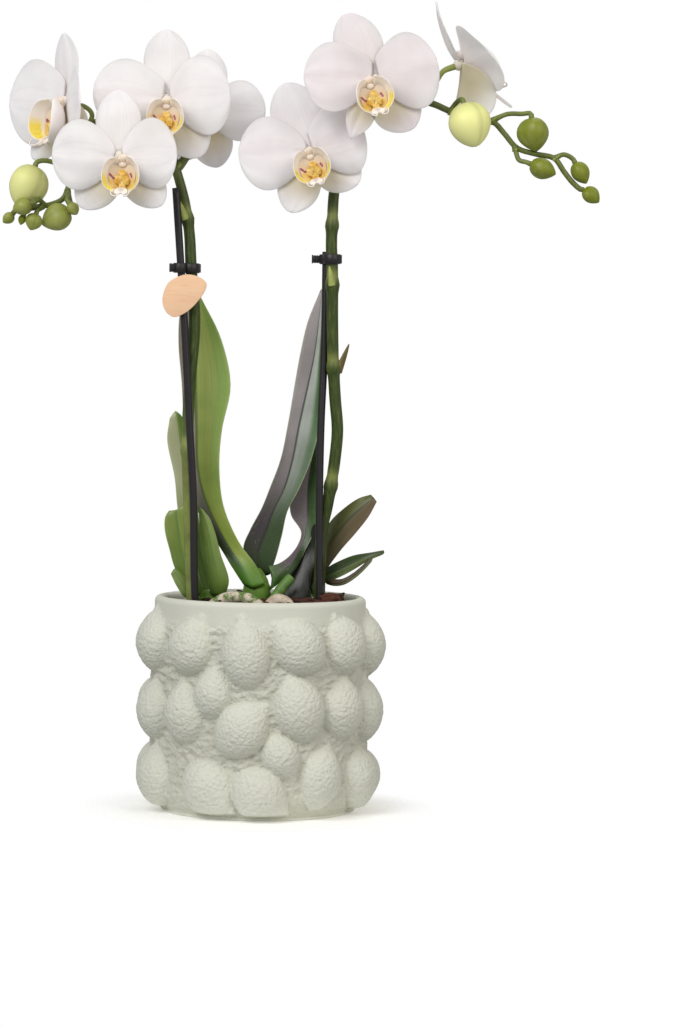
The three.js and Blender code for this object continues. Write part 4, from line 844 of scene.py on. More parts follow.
def orchid_petal(settings):
    """Petal tissue: thin, waxy white and translucent, with faint branching veins that fan from the claw."""
    material, tree = start_material(
        "Orchid petal", {"IOR": 1.4, "Specular IOR Level": 0.3, "Roughness": 0.5, "Sheen Weight": 0.06,
                         "Subsurface Weight": 0.75, "Subsurface Scale": 3.0 * MM,
                         "Subsurface Radius": (1.0, 0.95, 0.98)})
    place = add(tree, "TexCoord").outputs["Object"]
    across, along, tone, tint = [add(tree, "Attribute", attribute_name=trait).outputs["Fac"]
                                 for trait in ("across", "along", "tone", "side")]
    fan = add(tree, "CombineXYZ", {"X": across, "Y": along, "Z": tone}).outputs[0]
    drawn = add(tree, "Mapping", {"Vector": fan, "Scale": (9.0, 1.3, 7.0)}).outputs[0]
    strand = add(tree, "TexNoise", {"Vector": drawn, "Scale": 1.0, "Detail": 3.0, "Roughness": 0.6}).outputs["Fac"]
    vein = add(tree, "MapRange", {"Value": strand, "From Min": 0.5, "From Max": 0.75, "To Max": 0.3}).outputs[0]
    cloud = add(tree, "TexNoise", {"Vector": place, "Scale": per_mm(15), "Detail": 2.0}).outputs["Fac"]
    clouds = add(tree, "MapRange", {"Value": cloud, "From Min": 0.35, "From Max": 0.7, "To Max": 0.35}).outputs[0]
    # Partly painted shade: the bloom's tint, with random clouds, mixes in the pinkish grey petal shade.
    dulled = add(tree, "Math", {0: tint, 1: clouds}, operation="ADD", use_clamp=True).outputs[0]
    shaded = add(tree, "Mix", {FACTOR: dulled, FIRST: settings.petal, SECOND: settings.petal_shade}, data_type="RGBA")
    veined = add(tree, "Mix", {FACTOR: vein, FIRST: shaded.outputs[BLENDED], SECOND: hexa("E2D4D8")},
                 data_type="RGBA")
    foot = add(tree, "MapRange", {"Value": along, "From Min": 0.2, "From Max": 0.9, "To Min": 1.0, "To Max": 0.0},
               interpolation_type="SMOOTHSTEP").outputs[0]
    greened = add(tree, "Math", {0: foot, 1: tone}, operation="MULTIPLY").outputs[0]
    based = add(tree, "Mix", {FACTOR: greened, FIRST: veined.outputs[BLENDED], SECOND: settings.sepal_base},
                data_type="RGBA")
    return dressed(material, based, height=strand, strength=0.3, depth=0.35)


def orchid_lip(settings):
    """The lip's firmer tissue: white rims, yellow lower sides, a beige inside, partly painted shade, with purple
    streaks, a gold callus with painted highlights.
    """
    material, tree = start_material(
        "Orchid lip", {"IOR": 1.4, "Specular IOR Level": 0.4, "Roughness": 0.42, "Subsurface Weight": 0.3,
                       "Subsurface Scale": 1.0 * MM, "Subsurface Radius": (1.0, 0.7, 0.4)})
    place = add(tree, "TexCoord").outputs["Object"]
    across, along, side, tone, mark = [add(tree, "Attribute", attribute_name=trait).outputs["Fac"]
                                       for trait in ("across", "along", "side", "tone", "mark")]
    cloud = add(tree, "TexNoise", {"Vector": place, "Scale": per_mm(2.6), "Detail": 3.0}).outputs["Fac"]
    band = add(tree, "MapRange", {"Value": along, "From Min": 0.4, "From Max": 0.58}, interpolation_type="SMOOTHSTEP")
    band = band.outputs[0]
    for value, start, stop, at_start, at_stop in (
        (along, 0.86, 0.97, 1, 0), (across, -0.55, -0.1, 0, 1), (across, 0.84, 0.96, 1, 0), (side, -0.2, 0.3, 1, 0),
    ):
        share = add(tree, "MapRange", {"Value": value, "From Min": start, "From Max": stop, "To Min": at_start,
                                       "To Max": at_stop}).outputs[0]
        band = add(tree, "Math", {0: band, 1: share}, operation="MULTIPLY").outputs[0]
    rim = add(tree, "Mix", {FACTOR: band, FIRST: settings.lip, SECOND: settings.lip_yellow}, data_type="RGBA")
    olive = add(tree, "MapRange", {"Value": cloud, "From Min": 0.5, "From Max": 0.72, "To Max": 0.75}).outputs[0]
    dented = add(tree, "Math", {0: olive, 1: band}, operation="MULTIPLY").outputs[0]
    mossy = add(tree, "Mix", {FACTOR: dented, FIRST: rim.outputs[BLENDED], SECOND: hexa("DCC648")}, data_type="RGBA")
    # Partly painted shade: the beige inside colour on the back part of each side lobe and at the top of the throat.
    inner = add(tree, "MapRange", {"Value": across, "From Min": -0.95, "From Max": -0.4,
                                   "To Min": 1.0, "To Max": 0.0})
    lined = add(tree, "Mix", {FACTOR: inner.outputs[0], FIRST: mossy.outputs[BLENDED], SECOND: settings.lip_inside_shade},
                data_type="RGBA")
    is_wall = add(tree, "MapRange", {"Value": tone, "From Min": 0.5, "From Max": 0.55}).outputs[0]
    deep = add(tree, "MapRange", {"Value": along, "From Min": 0.3, "From Max": 0.75}, interpolation_type="SMOOTHSTEP")
    hollow = add(tree, "Mix", {FACTOR: deep.outputs[0], FIRST: settings.lip_inside_shade, SECOND: hexa("E2B95E")},
                 data_type="RGBA")
    patchy = add(tree, "MapRange", {"Value": cloud, "From Min": 0.4, "From Max": 0.65, "To Max": 0.5}).outputs[0]
    wall = add(tree, "Mix", {FACTOR: patchy, FIRST: hollow.outputs[BLENDED], SECOND: hexa("EBD9A4")},
               data_type="RGBA")
    walled = add(tree, "Mix", {FACTOR: is_wall, FIRST: lined.outputs[BLENDED], SECOND: wall.outputs[BLENDED]},
                 data_type="RGBA")
    blush = add(tree, "MapRange", {"Value": mark, "From Min": 0.02, "From Max": 0.4}).outputs[0]
    blushed = add(tree, "Mix", {FACTOR: blush, FIRST: walled.outputs[BLENDED], SECOND: hexa("EFC9BE")},
                  data_type="RGBA")
    stripe = add(tree, "MapRange", {"Value": mark, "From Min": 0.42, "From Max": 0.66}).outputs[0]
    marked = add(tree, "Mix", {FACTOR: stripe, FIRST: blushed.outputs[BLENDED], SECOND: settings.streak},
                 data_type="RGBA")
    is_tongue = add(tree, "MapRange", {"Value": tone, "From Min": 0.1, "From Max": 0.3}).outputs[0]
    not_wall = add(tree, "Math", {0: 1.0, 1: is_wall}, operation="SUBTRACT").outputs[0]
    tongue = add(tree, "Math", {0: is_tongue, 1: not_wall}, operation="MULTIPLY").outputs[0]
    tongued = add(tree, "Mix", {FACTOR: tongue, FIRST: marked.outputs[BLENDED], SECOND: hexa("F8EAE2")},
                  data_type="RGBA")
    is_callus = add(tree, "MapRange", {"Value": tone, "From Min": 0.7, "From Max": 0.9}).outputs[0]
    # Painted highlight: pale gold patches laid by noise on the callus stand in for its highlights.
    grain = add(tree, "MapRange", {"Value": cloud, "From Min": 0.35, "From Max": 0.65}).outputs[0]
    ridge = add(tree, "Mix", {FACTOR: grain, FIRST: hexa("F2DA92"), SECOND: settings.callus}, data_type="RGBA")
    golden = add(tree, "Mix", {FACTOR: is_callus, FIRST: tongued.outputs[BLENDED], SECOND: ridge.outputs[BLENDED]},
                 data_type="RGBA")
    return dressed(material, golden)


def bud_skin(settings):
    """Closed sepals of a bud: satin green skin that pales to cream green as it ripens, darker along its seams."""
    material, tree = start_material(
        "Bud skin", {"IOR": 1.42, "Subsurface Weight": 0.25, "Subsurface Scale": 2.0 * MM,
                     "Subsurface Radius": (0.8, 1.0, 0.3)})
    place = add(tree, "TexCoord").outputs["Object"]
    ripeness, seam, along = [add(tree, "Attribute", attribute_name=trait).outputs["Fac"]
                             for trait in ("tone", "side", "along")]
    base = add(tree, "Mix", {FACTOR: ripeness, FIRST: settings.bud, SECOND: settings.bud_ripe}, data_type="RGBA")
    foot = add(tree, "MapRange", {"Value": along, "From Min": 0.0, "From Max": 0.35,
                                  "To Min": 0.35, "To Max": 0.0}).outputs[0]
    footed = add(tree, "Mix", {FACTOR: foot, FIRST: base.outputs[BLENDED], SECOND: settings.bud}, data_type="RGBA")
    near_seam = add(tree, "Math", {0: seam, 1: 0.35}, operation="MULTIPLY").outputs[0]
    seamed = add(tree, "Mix", {FACTOR: near_seam, FIRST: footed.outputs[BLENDED], SECOND: hexa("6F8422")},
                 data_type="RGBA")
    cloud = add(tree, "TexNoise", {"Vector": place, "Scale": per_mm(4), "Detail": 4.0}).outputs["Fac"]
    clouds = add(tree, "MapRange", {"Value": cloud, "From Min": 0.5, "From Max": 0.8, "To Max": 0.14}).outputs[0]
    pale = add(tree, "Mix", {FACTOR: clouds, FIRST: seamed.outputs[BLENDED], SECOND: hexa("EEF0B4")},
               data_type="RGBA")
    rough = add(tree, "MapRange", {"Value": cloud, "To Min": 0.36, "To Max": 0.52})
    return dressed(material, pale, rough, height=cloud, strength=0.15, depth=0.3)


def light_wood(settings):
    """Thin birch veneer, sanded and bare: pale peach with soft grain and darker pores."""
    material, tree = start_material("Bare birch veneer", {"IOR": 1.5, "Specular IOR Level": 0.35})
    place = add(tree, "TexCoord").outputs["Object"]
    slanted = add(tree, "Mapping", {"Vector": place, "Rotation": (0.0, 0.5, 0.0),
                                    "Scale": (0.12, 1.0, 1.0)}).outputs[0]
    grain = add(tree, "TexNoise", {"Vector": slanted, "Scale": per_mm(0.9), "Detail": 5.0,
                                   "Roughness": 0.6}).outputs["Fac"]
    ring = add(tree, "TexNoise", {"Vector": slanted, "Scale": per_mm(4), "Detail": 2.0}).outputs["Fac"]
    darker = add(tree, "MapRange", {"Value": grain, "From Min": 0.5, "From Max": 0.8, "To Max": 0.45}).outputs[0]
    grained = add(tree, "Mix", {FACTOR: darker, FIRST: settings.wood, SECOND: hexa("D9A274")}, data_type="RGBA")
    rings = add(tree, "MapRange", {"Value": ring, "From Min": 0.4, "From Max": 0.7, "To Max": 0.4}).outputs[0]
    ringed = add(tree, "Mix", {FACTOR: rings, FIRST: grained.outputs[BLENDED], SECOND: hexa("F8D8B8")},
                 data_type="RGBA")
    rough = add(tree, "MapRange", {"Value": grain, "To Min": 0.55, "To Max": 0.75})
    return dressed(material, ringed, rough, height=grain, strength=0.2, depth=0.15)


def studio_floor(settings):
    """Matte white studio floor that fades out with distance, so that it keeps only the contact shadow."""
    material, tree = start_material(
        "Studio floor", {"Roughness": 0.9, "Specular IOR Level": 0.0, "Base Color": settings.floor,
                         "Emission Color": settings.floor, "Emission Strength": FLOOR.glow})
    place = add(tree, "TexCoord").outputs["Object"]
    away = add(tree, "VectorMath", {0: place}, operation="LENGTH").outputs["Value"]
    fade = add(tree, "MapRange", {"Value": away, "From Min": FLOOR.fade_from, "From Max": FLOOR.fade_to},
               interpolation_type="SMOOTHSTEP")
    clear = add(tree, "BsdfTransparent").outputs[0]
    both = add(tree, "MixShader", {0: fade.outputs[0], 1: tree.nodes["Principled BSDF"].outputs[0], 2: clear})
    tree.links.new(both.outputs[0], tree.nodes["Material Output"].inputs["Surface"])
    return material


# Cover pot

def lemons_round():
    """Every lemon on the pot, with its lean as a cosine and a sine."""
    lemons = list(FRONT_LEMONS)
    for height, first, last, count in BACK_ROWS:
        for i in range(count):
            turn = first + (last - first) * i / (count - 1)
            rise = -1 if i % 2 == 0 else 1.5
            lean = 70 * math.sin(i * 2.3 + height)
            long, wide = 33.5 + 1.5 * math.sin(i * 1.7 + height), 26.5 + math.sin(i * 3.1)
            lemons.append((turn, height + rise, long, wide, lean))
    return [Sizes(turn=turn, height=height, half_long=(long - LEMON.nipple) / 2, half_wide=wide / 2,
                  bulge=LEMON.stand * (wide / LEMON.usual) ** 0.6 / (wide / 2),
                  cos=math.cos(math.radians(lean)), sin=math.sin(math.radians(lean)))
            for turn, height, long, wide, lean in lemons]


def lemon_stands(lemon, side, rise):
    """How far a lemon stands out of its seat at this place beside its middle, or None outside it."""
    long = rise * lemon.cos + side * lemon.sin
    wide = side * lemon.cos - rise * lemon.sin
    a, b = lemon.half_long, lemon.half_wide
    body = b * (1 - abs(long / a) ** 1.9) ** 0.62 if abs(long) < a else 0.0
    out = (long - (a - 1.5)) / (LEMON.nipple + 3)
    tip = LEMON.nipple_half * math.sqrt(1 - out * out) if abs(out) < 1 else 0.0
    half = (body ** 3 + tip ** 3) ** (1 / 3)
    if half <= abs(wide):
        return None
    lift = LEMON.nipple_lift * smoothstep(long, 0.6 * a, a)
    return lift + lemon.bulge * math.sqrt(half * half - wide * wide)


def pot_profile():
    """Rows of the pot's surface from the middle of its foot, over the rim, to the middle of its floor."""
    rows = [(0, 0), (POT.foot * 0.6, 0), (POT.foot - 1.2, 0), (POT.foot - 0.4, 0.3), (POT.foot, 1)]
    for i in range(POT.wall_rows + 1):
        rows.append((None, POT.foot_top + (POT.wall_top - POT.foot_top) * i / POT.wall_rows))
    middle, half = (POT.rim + POT.opening) / 2, (POT.rim - POT.opening) / 2
    for i in range(1, 12):
        angle = math.pi * i / 12
        rows.append((middle + half * math.cos(angle), POT.height - half + half * math.sin(angle)))
    rows += [(POT.opening, 103.4), (POT.opening, 101)]
    rows += [(POT.opening - 0.8 * i / 8, 101 - 94 * i / 8) for i in range(1, 8)]
    rows += [(POT.opening - 1.0, POT.floor + 1.5), (POT.opening - 2.5, POT.floor), (POT.opening * 0.5, POT.floor),
             (0, POT.floor)]
    return rows


def cover_pot(settings):
    lemons = lemons_round()
    profile = pot_profile()
    steps = len(profile) - 1
    wrinkle = settings.wrinkle / MM
    scale = math.radians(1) * (POT.ground + 3)

    @lru_cache(maxsize=None)
    def lemons_at(turn):
        found = []
        for lemon in lemons:
            away = (turn - lemon.turn + 180) % 360 - 180
            if abs(away * scale) < LEMON.reach:
                found.append((lemon, away * scale))
        return found

    @lru_cache(maxsize=None)
    def wall(turn, height):
        angle = math.radians(turn)
        spot = Vector((POT.skin * math.sin(angle), -POT.skin * math.cos(angle), height))
        neck = smoothstep(height, POT.collar - 9, POT.collar - 1)
        hem = 1 - smoothstep(height, POT.foot_top, POT.foot_top + 9)
        calm = 1 - smoothstep(height, POT.collar - 7, POT.collar)
        calm *= smoothstep(height, POT.foot_top, POT.foot_top + 4)
        crumple = Vector((spot.x, spot.y, spot.z * 1.9))
        ragged = 2.4 * (0.45 - abs(noise.noise(crumple * 0.12))) + 1.1 * (0.5 - abs(noise.noise(crumple * 0.3)))
        ground = POT.ground - (POT.ground - POT.rim) * neck - (POT.ground - POT.foot) * hem + ragged * calm
        radius = ground
        for lemon, side in lemons_at(turn):
            rise = height - lemon.height
            if abs(rise) > LEMON.tall:
                continue
            stands = lemon_stands(lemon, side, rise)
            if stands is None:
                continue
            offset = Vector((lemon.turn, 0, lemon.height))
            skin_spot = Vector((spot.x * 0.4, spot.y * 0.4, spot.z * 0.44)) + offset
            fold = 0.5 - abs(noise.noise(skin_spot))
            low = 1.25 - 0.5 * smoothstep(rise, -lemon.half_long, lemon.half_long)
            skin = LEMON.seat + stands + wrinkle * low * (1.2 * fold + 0.5 * noise.noise(skin_spot * 2.1))
            gap = skin - radius
            radius = 0.5 * (skin + radius + math.sqrt(gap * gap + LEMON.soften ** 2))
        settle = max(smoothstep(height, POT.wall_top - 2.2, POT.wall_top), 1 - smoothstep(height, POT.foot_top, 4.5))
        level = POT.rim if height > POT.height / 2 else POT.foot
        return radius + (min(radius, level) - radius) * settle, ground

    def place(turn, along):
        radius, height = profile[round(along * steps)]
        if radius is None:
            radius, _ = wall(360 * (turn % 1), height)
        angle = FULL_TURN * turn
        return Vector((radius * math.sin(angle), -radius * math.cos(angle), height))

    # Painted shade: darker, warmer glaze in the valleys between the lemons, where shade falls, and round the bottom
    # of the foot.
    def crease_shade_at(turn, along):
        radius, height = profile[round(along * steps)]
        if radius is not None:
            return 0.0
        radius, ground = wall(360 * (turn % 1), height)
        crease_shade = 0.6 * (1 - smoothstep(radius, ground - 1.4, ground + 1.4))
        crease_shade *= 1 - smoothstep(height, POT.collar - 9, POT.collar)
        return max(crease_shade, 0.8 * (1 - smoothstep(height, 0, 5)))

    bm = fresh_mesh()
    relief = bm.verts.layers.float["side"]
    for vert in lay_grid(bm, POT.around, steps, place, crease_shade_at):
        away = math.hypot(vert.co.x, vert.co.y)
        on_collar = smoothstep(vert.co.z, POT.collar - 5, POT.collar)
        on_collar *= 1 - smoothstep(away, POT.rim + 0.2, POT.rim + 1.6)
        vert[relief] = smoothstep(vert.co.z, 0.3, 2.5) * smoothstep(away, POT.foot - 1, POT.foot) * (1 - on_collar)
    finish_piece("cover_pot_relief", bm, matte_glazed_earthenware(settings), "ceramic_relief", "cover_pot")


# Nursery pot and bark

def nursery_pot(settings):
    base = POT.floor + NURSERY.lift
    top = base + NURSERY.height
    under = top - NURSERY.lip_height
    body = NURSERY.rim - NURSERY.lip
    inner = NURSERY.rim - NURSERY.wall - NURSERY.narrow
    bm = fresh_mesh()
    lathe(bm, [
        (0, base), (NURSERY.base - 1, base), (NURSERY.base, base + 1), (body - 0.6, under),
        (NURSERY.rim - 0.2, under), (NURSERY.rim, under + 0.3), (NURSERY.rim, top - 0.4), (NURSERY.rim - 0.4, top),
        (inner + 0.3, top), (inner, top - 0.3), (body - NURSERY.wall - NURSERY.narrow, under),
        (NURSERY.base - NURSERY.wall, base + NURSERY.floor), (0, base + NURSERY.floor),
    ], 96)
    material = moulded_polypropylene("Thin brown polypropylene", tuple(settings.nursery), 0.45)
    finish_piece("nursery_pot_shell", bm, material, "brown_plastic", "nursery_pot")


def soil_height(away):
    return SOIL.crown - (SOIL.crown - SOIL.edge) * min(away / SOIL.reach, 1.2) ** 2


def standing_places():
    """Where crowns, stems and stakes stand in the bark."""
    routes = [points for points, _ in CROWNS.values()]
    routes += [spike.route for spike in SPIKES.values()]
    routes += list(STAKES.values())
    places = []
    for route in routes:
        low = min(route, key=lambda point: abs(point[2] - SOIL.crown))
        places.append(Vector(low[:2]))
    return places


def bark(settings):
    base = POT.floor + NURSERY.lift + SOIL.bottom
    body = NURSERY.rim - NURSERY.lip - NURSERY.wall - NURSERY.narrow - SOIL.gap - NURSERY.narrow
    bm = fresh_mesh()
    rings = 16
    profile = [(0, base), (NURSERY.base - NURSERY.wall - 1.4, base), (body - 0.6, 92), (body - 0.2, SOIL.edge - 3)]
    profile += [(body * (1 - i / rings), soil_height(body * (1 - i / rings)) - 1.5) for i in range(1, rings + 1)]
    lathe(bm, profile, 72)
    tone = bm.verts.layers.float["tone"]
    for vert in bm.verts:
        if vert.co.z > SOIL.rough_from:
            vert.co.z += 0.9 * noise.noise(vert.co * 0.35)
            vert[tone] = 0.15
    draw = random.Random(11)
    for middle, radii, shade in LARGE_CHIPS:
        turn = Euler((draw.uniform(-0.4, 0.4), draw.uniform(-0.4, 0.4), draw.uniform(-0.8, 0.8)))
        lump(bm, middle, radii, shade, turn, 0.6, 0.5, 3)
    standing = standing_places()
    made = 0
    while made < settings.chips:
        away, angle = SOIL.reach * math.sqrt(draw.random()), FULL_TURN * draw.random()
        spot = Vector((away * math.cos(angle), away * math.sin(angle)))
        long, wide, thick = draw.uniform(3, 6.2), draw.uniform(2, 3.8), draw.uniform(1.1, 2.3)
        turn = Euler((draw.uniform(-0.5, 0.5), draw.uniform(-0.5, 0.5), draw.uniform(0, FULL_TURN)))
        lift, shade = draw.uniform(-1.2, 1.4), draw.random() ** 1.4
        if away + long > body or min((spot - place).length for place in standing) < 4.5 + wide:
            continue
        lump(bm, (*spot, soil_height(away) + lift), (long, wide, thick), shade, turn, 0.62, 0.5)
        made += 1
    finish_piece("bark_chips", bm, pine_bark(settings), "bark", "bark_fill", smooth=False)


# Stakes, clips and tag

def stakes(settings):
    material = moulded_polypropylene("Dark green-black stake plastic", tuple(settings.plastic), 0.36)
    for name, points in STAKES.items():
        bm = fresh_mesh()
        tube(bm, points, lambda along, angle: STAKE_RADIUS, 24, 60, (0.01, 0.0))
        finish_piece(f"{name}_rod", bm, material, "black_plastic", name)


def clips(settings):
    material = moulded_polypropylene("Black clip plastic", tuple(settings.plastic), 0.4)
    for name, clip in CLIPS.items():
        bm = fresh_mesh()
        for at, radius in ((clip.stake, STAKE_RADIUS), (clip.stem, STEM.radius)):
            inner, outer, half = radius + CLIP.play, radius + CLIP.outside, CLIP.half
            section = [(inner, -half), (outer - 0.3, -half), (outer, -half + 0.3), (outer, half - 0.3),
                       (outer - 0.3, half), (inner, half), (inner, -half)]
            start = set(bm.verts)
            lathe(bm, section, 28)
            bmesh.ops.translate(bm, vec=(*at, clip.height), verts=[v for v in bm.verts if v not in start])
        for foot, way, reach in clip.tabs:
            way = Vector((*way, 0)).normalized()
            grip(bm, Vector((*foot, clip.height)) + way * CLIP.grip_start, way, reach - CLIP.grip_start)
        finish_piece(f"{name}_moulding", bm, material, "black_plastic", name)


def grip(bm, foot, way, reach):
    """A finger tab of a clip: a bevelled plate with three small ribs across it."""
    turn = Matrix.Rotation(math.atan2(way.y, way.x), 4, "Z")
    plates = [(0.5, reach, 3.6, 1.6), (0.35, 0.6, 4.0, 2.1), (0.65, 0.6, 4.0, 2.1), (0.92, 0.7, 4.2, 2.2)]
    for share, thick, high, deep in plates:
        made = bmesh.ops.create_cube(bm, size=1.0)["verts"]
        shift = Matrix.Translation(foot + way * reach * share)
        bmesh.ops.transform(bm, matrix=shift @ turn @ Matrix.Diagonal((thick, deep, high, 1)), verts=made)
        edges = list(dict.fromkeys(edge for vert in made for edge in vert.link_edges))
        bevel(bm, edges, 0.22)


def tag(settings):
    outline = [Vector((x, 0, z)) for x, z in TAG_OUTLINE]
    ring = outline[-2:] + outline + outline[:3]
    count, steps = 84, len(ring) - 1
    points = [curve_point(ring, (2 + len(outline) * i / count) / steps) for i in range(count)]
    bm = fresh_mesh()
    verts = [bm.verts.new((p.x, TAG.face - TAG.thickness, p.z)) for p in points]
    face = bm.faces.new(verts)
    made = bmesh.ops.extrude_face_region(bm, geom=[face])["geom"]
    back = [v for v in made if isinstance(v, bmesh.types.BMVert)]
    bmesh.ops.translate(bm, vec=(0, TAG.thickness, 0), verts=back)
    rim = [e for e in bm.edges if len({round(v.co.y, 3) for v in e.verts}) == 1]
    bevel(bm, rim, 0.25)
    finish_piece("tag_plate", bm, light_wood(settings), "pale_wood", "tag")
    bm = fresh_mesh()
    made = bmesh.ops.create_cube(bm, size=1.0)["verts"]
    x, z = TAG.grip
    place = Matrix.Translation((x, TAG.face + TAG.behind, z)) @ Matrix.Diagonal((*TAG.grip_size, 1))
    bmesh.ops.transform(bm, matrix=place, verts=made)
    bevel(bm, bm.edges[:], 0.5, 3)
    material = moulded_polypropylene("Tag clip plastic", tuple(settings.plastic), 0.4)
    finish_piece("tag_grip", bm, material, "black_plastic")


# Roots, the old stem, crowns and leaves

def roots(settings):
    dry, wet = tuple(settings.root_pale), tuple(settings.root_green)
    skins = {
        "root_green": root_skin("Velamen, wet and green", wet, dry),
        "root_pale": root_skin("Velamen, dry and silvery", dry, hexa("B7A690")),
    }
    for name, (points, radius) in ROOTS.items():
        bm = fresh_mesh()

        def thick(along, angle):
            swell = 0.8 + 0.2 * math.sin(math.pi * along)
            return radius * swell * (1 + 0.1 * noise.noise(Vector((along * 14, math.cos(angle), math.sin(angle)))))

        tube(bm, points, thick, 20, 44, (0.04, 0.04))
        finish_piece(f"{name}_skin", bm, skins[name], "root", name)


def old_stem(settings):
    bm = fresh_mesh()
    tube(bm, STUB.route, lambda along, angle: STUB.radius * (1 + 0.14 * math.exp(-((along - 0.7) / 0.04) ** 2)),
         18, 40, (0.02, 0.02), lambda along: 0.25 + 0.6 * along)
    material = living_stem("Old flower stem", hexa("4C7428"), hexa("6C9444"))
    finish_piece("old_stem_cut", bm, material, "stem", "old_stem_stub")


def crowns(settings):
    material = living_stem("Fleshy crown", tuple(settings.crown), hexa("7FA03A"))
    for name, (points, radii) in CROWNS.items():
        thick = [Vector((r, 0, 0)) for r in radii]
        bm = fresh_mesh()

        def radius_at(along, angle):
            sheath = 0.5 * smoothstep(math.sin(along * 21 + angle), 0.75, 1.0)
            return curve_point(thick, along).x + sheath

        tube(bm, points, radius_at, 32, 48, (0.03, 0.05), lambda along: 0.35 * along)
        finish_piece(f"{name}_flesh", bm, material, "leaf_green", name)


def leaf_surface(stations, wave):
    """Half folded along the rib, half bowed, as a thick leaf is, with a slightly wavy margin."""
    sides = [[Vector(station[k]) for station in stations] for k in range(3)]

    @lru_cache(maxsize=None)
    def lines(along):
        return [curve_point(side, min(max(along, 0.0), 1.0)) for side in sides]

    def surface(across, along):
        left, rib, right = lines(along)
        folded = rib.lerp(left if across < 0 else right, abs(across))
        bowed = rib * (1 - across ** 2) + left * (across * (across - 1) / 2) + right * (across * (across + 1) / 2)
        point = folded.lerp(bowed, 0.5)
        point.y += wave * abs(across) ** 3 * math.sin(17 * along + 3 * across) * rounded(along, 0.2)
        return point

    return surface


def leaves(settings):
    rib = settings.leaf_rib / MM
    for name, stations in LEAVES.items():
        bm = fresh_mesh()

        def thickness(across, along):
            groove = 0.35 * math.exp(-(across / 0.1) ** 2)
            return (rib - (rib - LEAF.edge) * abs(across) - groove) * rounded(along, 0.06)

        blade(bm, leaf_surface(stations, 0.35), thickness, LEAF.around, LEAF.rows)
        if name == "leaf_low_right":
            tube(bm, CURLED_EDGE, lambda along, angle: 1.9 - 0.9 * along, 14, 36, (0.03, 0.06))
        material = waxy_leaf(name.replace("_", " ").capitalize(), LEAF_COLOURS[name])
        slot = "leaf_dark" if name.endswith("right") else "leaf_green"
        finish_piece(f"{name}_blade", bm, material, slot, name)


# Flowers

def bloom_frame(bloom):
    """Right, up and out of a bloom's face, as a matrix."""
    turn = Matrix.Rotation(math.radians(bloom.yaw), 4, "Z") @ Matrix.Rotation(-math.radians(bloom.pitch), 4, "X")
    return Matrix.Translation(bloom.place) @ turn @ Matrix.Rotation(math.pi / 2, 4, "X")


def tepal_surface(sizes, kind, lift, phase):
    """One petal or sepal: a claw that widens to a round blade, grooved along its middle, with a soft waved edge."""
    long, width = sizes.long, sizes.width
    twist = math.radians(sizes.twist)
    sin, cos = math.sin(math.radians(sizes.turn)), math.cos(math.radians(sizes.turn))
    upper = 1 if sin < 0 else -1
    slope = math.tan(math.radians(lift + sizes.lean))

    def surface(across, along):
        s = 1 - (1 - min(max(along, 0.0), 1.0)) ** 1.45
        swell = max(math.sin(math.pi * s ** kind.peak), 0.0) ** (kind.blunt + sizes.point * s)
        claw = kind.claw + sizes.shoulder * smoothstep(upper * across, 0, 0.8)
        half = width / 2 * (claw * (1 - s) ** 0.5 * (1 - s * s) + (1 - claw * (1 - s)) * swell)
        out = TEPAL_START + (long - TEPAL_START) * s
        sideways = across * half * math.cos(twist * s)
        turned = across * half * math.sin(twist * s)
        rise = kind.seat + sizes.bend * s * s + turned + out * slope - kind.droop * s * s
        rise -= kind.cup * sideways * sideways / (width / 2)
        rise -= 0.5 * (1 - s) * math.exp(-(across / 0.16) ** 2)
        rise += kind.ruffle * abs(across) ** 2.5 * math.sin(6.5 * s + phase + 1.7 * across) * s * swell
        rise += 1.1 * noise.noise(Vector((sideways * 0.07, out * 0.07, phase * 3))) * s
        rise += 0.8 * noise.noise(Vector((across * 2.4, s * 1.1, phase * 5))) * smoothstep(s, 0.05, 0.4) * swell
        return Vector((sin * out + cos * sideways, cos * out - sin * sideways, rise))

    return surface


def blooms(settings):
    petal = orchid_petal(settings)
    flesh = living_stem("Column flesh", hexa("F8EEE8"), hexa("E8D6BE"), "E6D0BC")
    thick = settings.thickness / MM
    for number, (name, bloom) in enumerate(BLOOMS.items()):
        bm = fresh_mesh()
        for i, sizes in enumerate(bloom.tepals):
            kind, lift = (PETAL, bloom.lift) if i in (1, 2) else (SEPAL, bloom.sweep)
            surface = tepal_surface(sizes, kind, lift, number * 1.9 + i * 2.3)
            tone = 0.05 if i in (1, 2) else 0.12 if i == 0 else 0.9
            blade(bm, surface, lambda across, along: thick * rounded(along, 0.05), kind.around, kind.rows, 1, tone)
        lump(bm, (0, 0, -0.4), (3.0, 3.0, 3.2), 0.5, detail=3)
        tint = bm.verts.layers.float["side"]
        for vert in bm.verts:
            vert[tint] = bloom.tint
        bmesh.ops.transform(bm, matrix=bloom_frame(bloom), verts=bm.verts)
        finish_piece(f"{name}_tepals", bm, petal, "petal_white", name)
        column(f"{name}_column", bloom, flesh)


def lip_frame(bloom):
    """The frame of a bloom's lip: that of its face, turned and shifted along it."""
    return (bloom_frame(bloom) @ Matrix.Translation((*bloom.lip_shift, 0))
            @ Matrix.Rotation(-math.radians(bloom.lip_turn), 4, "Z") @ Matrix.Scale(bloom.lip_size, 4))


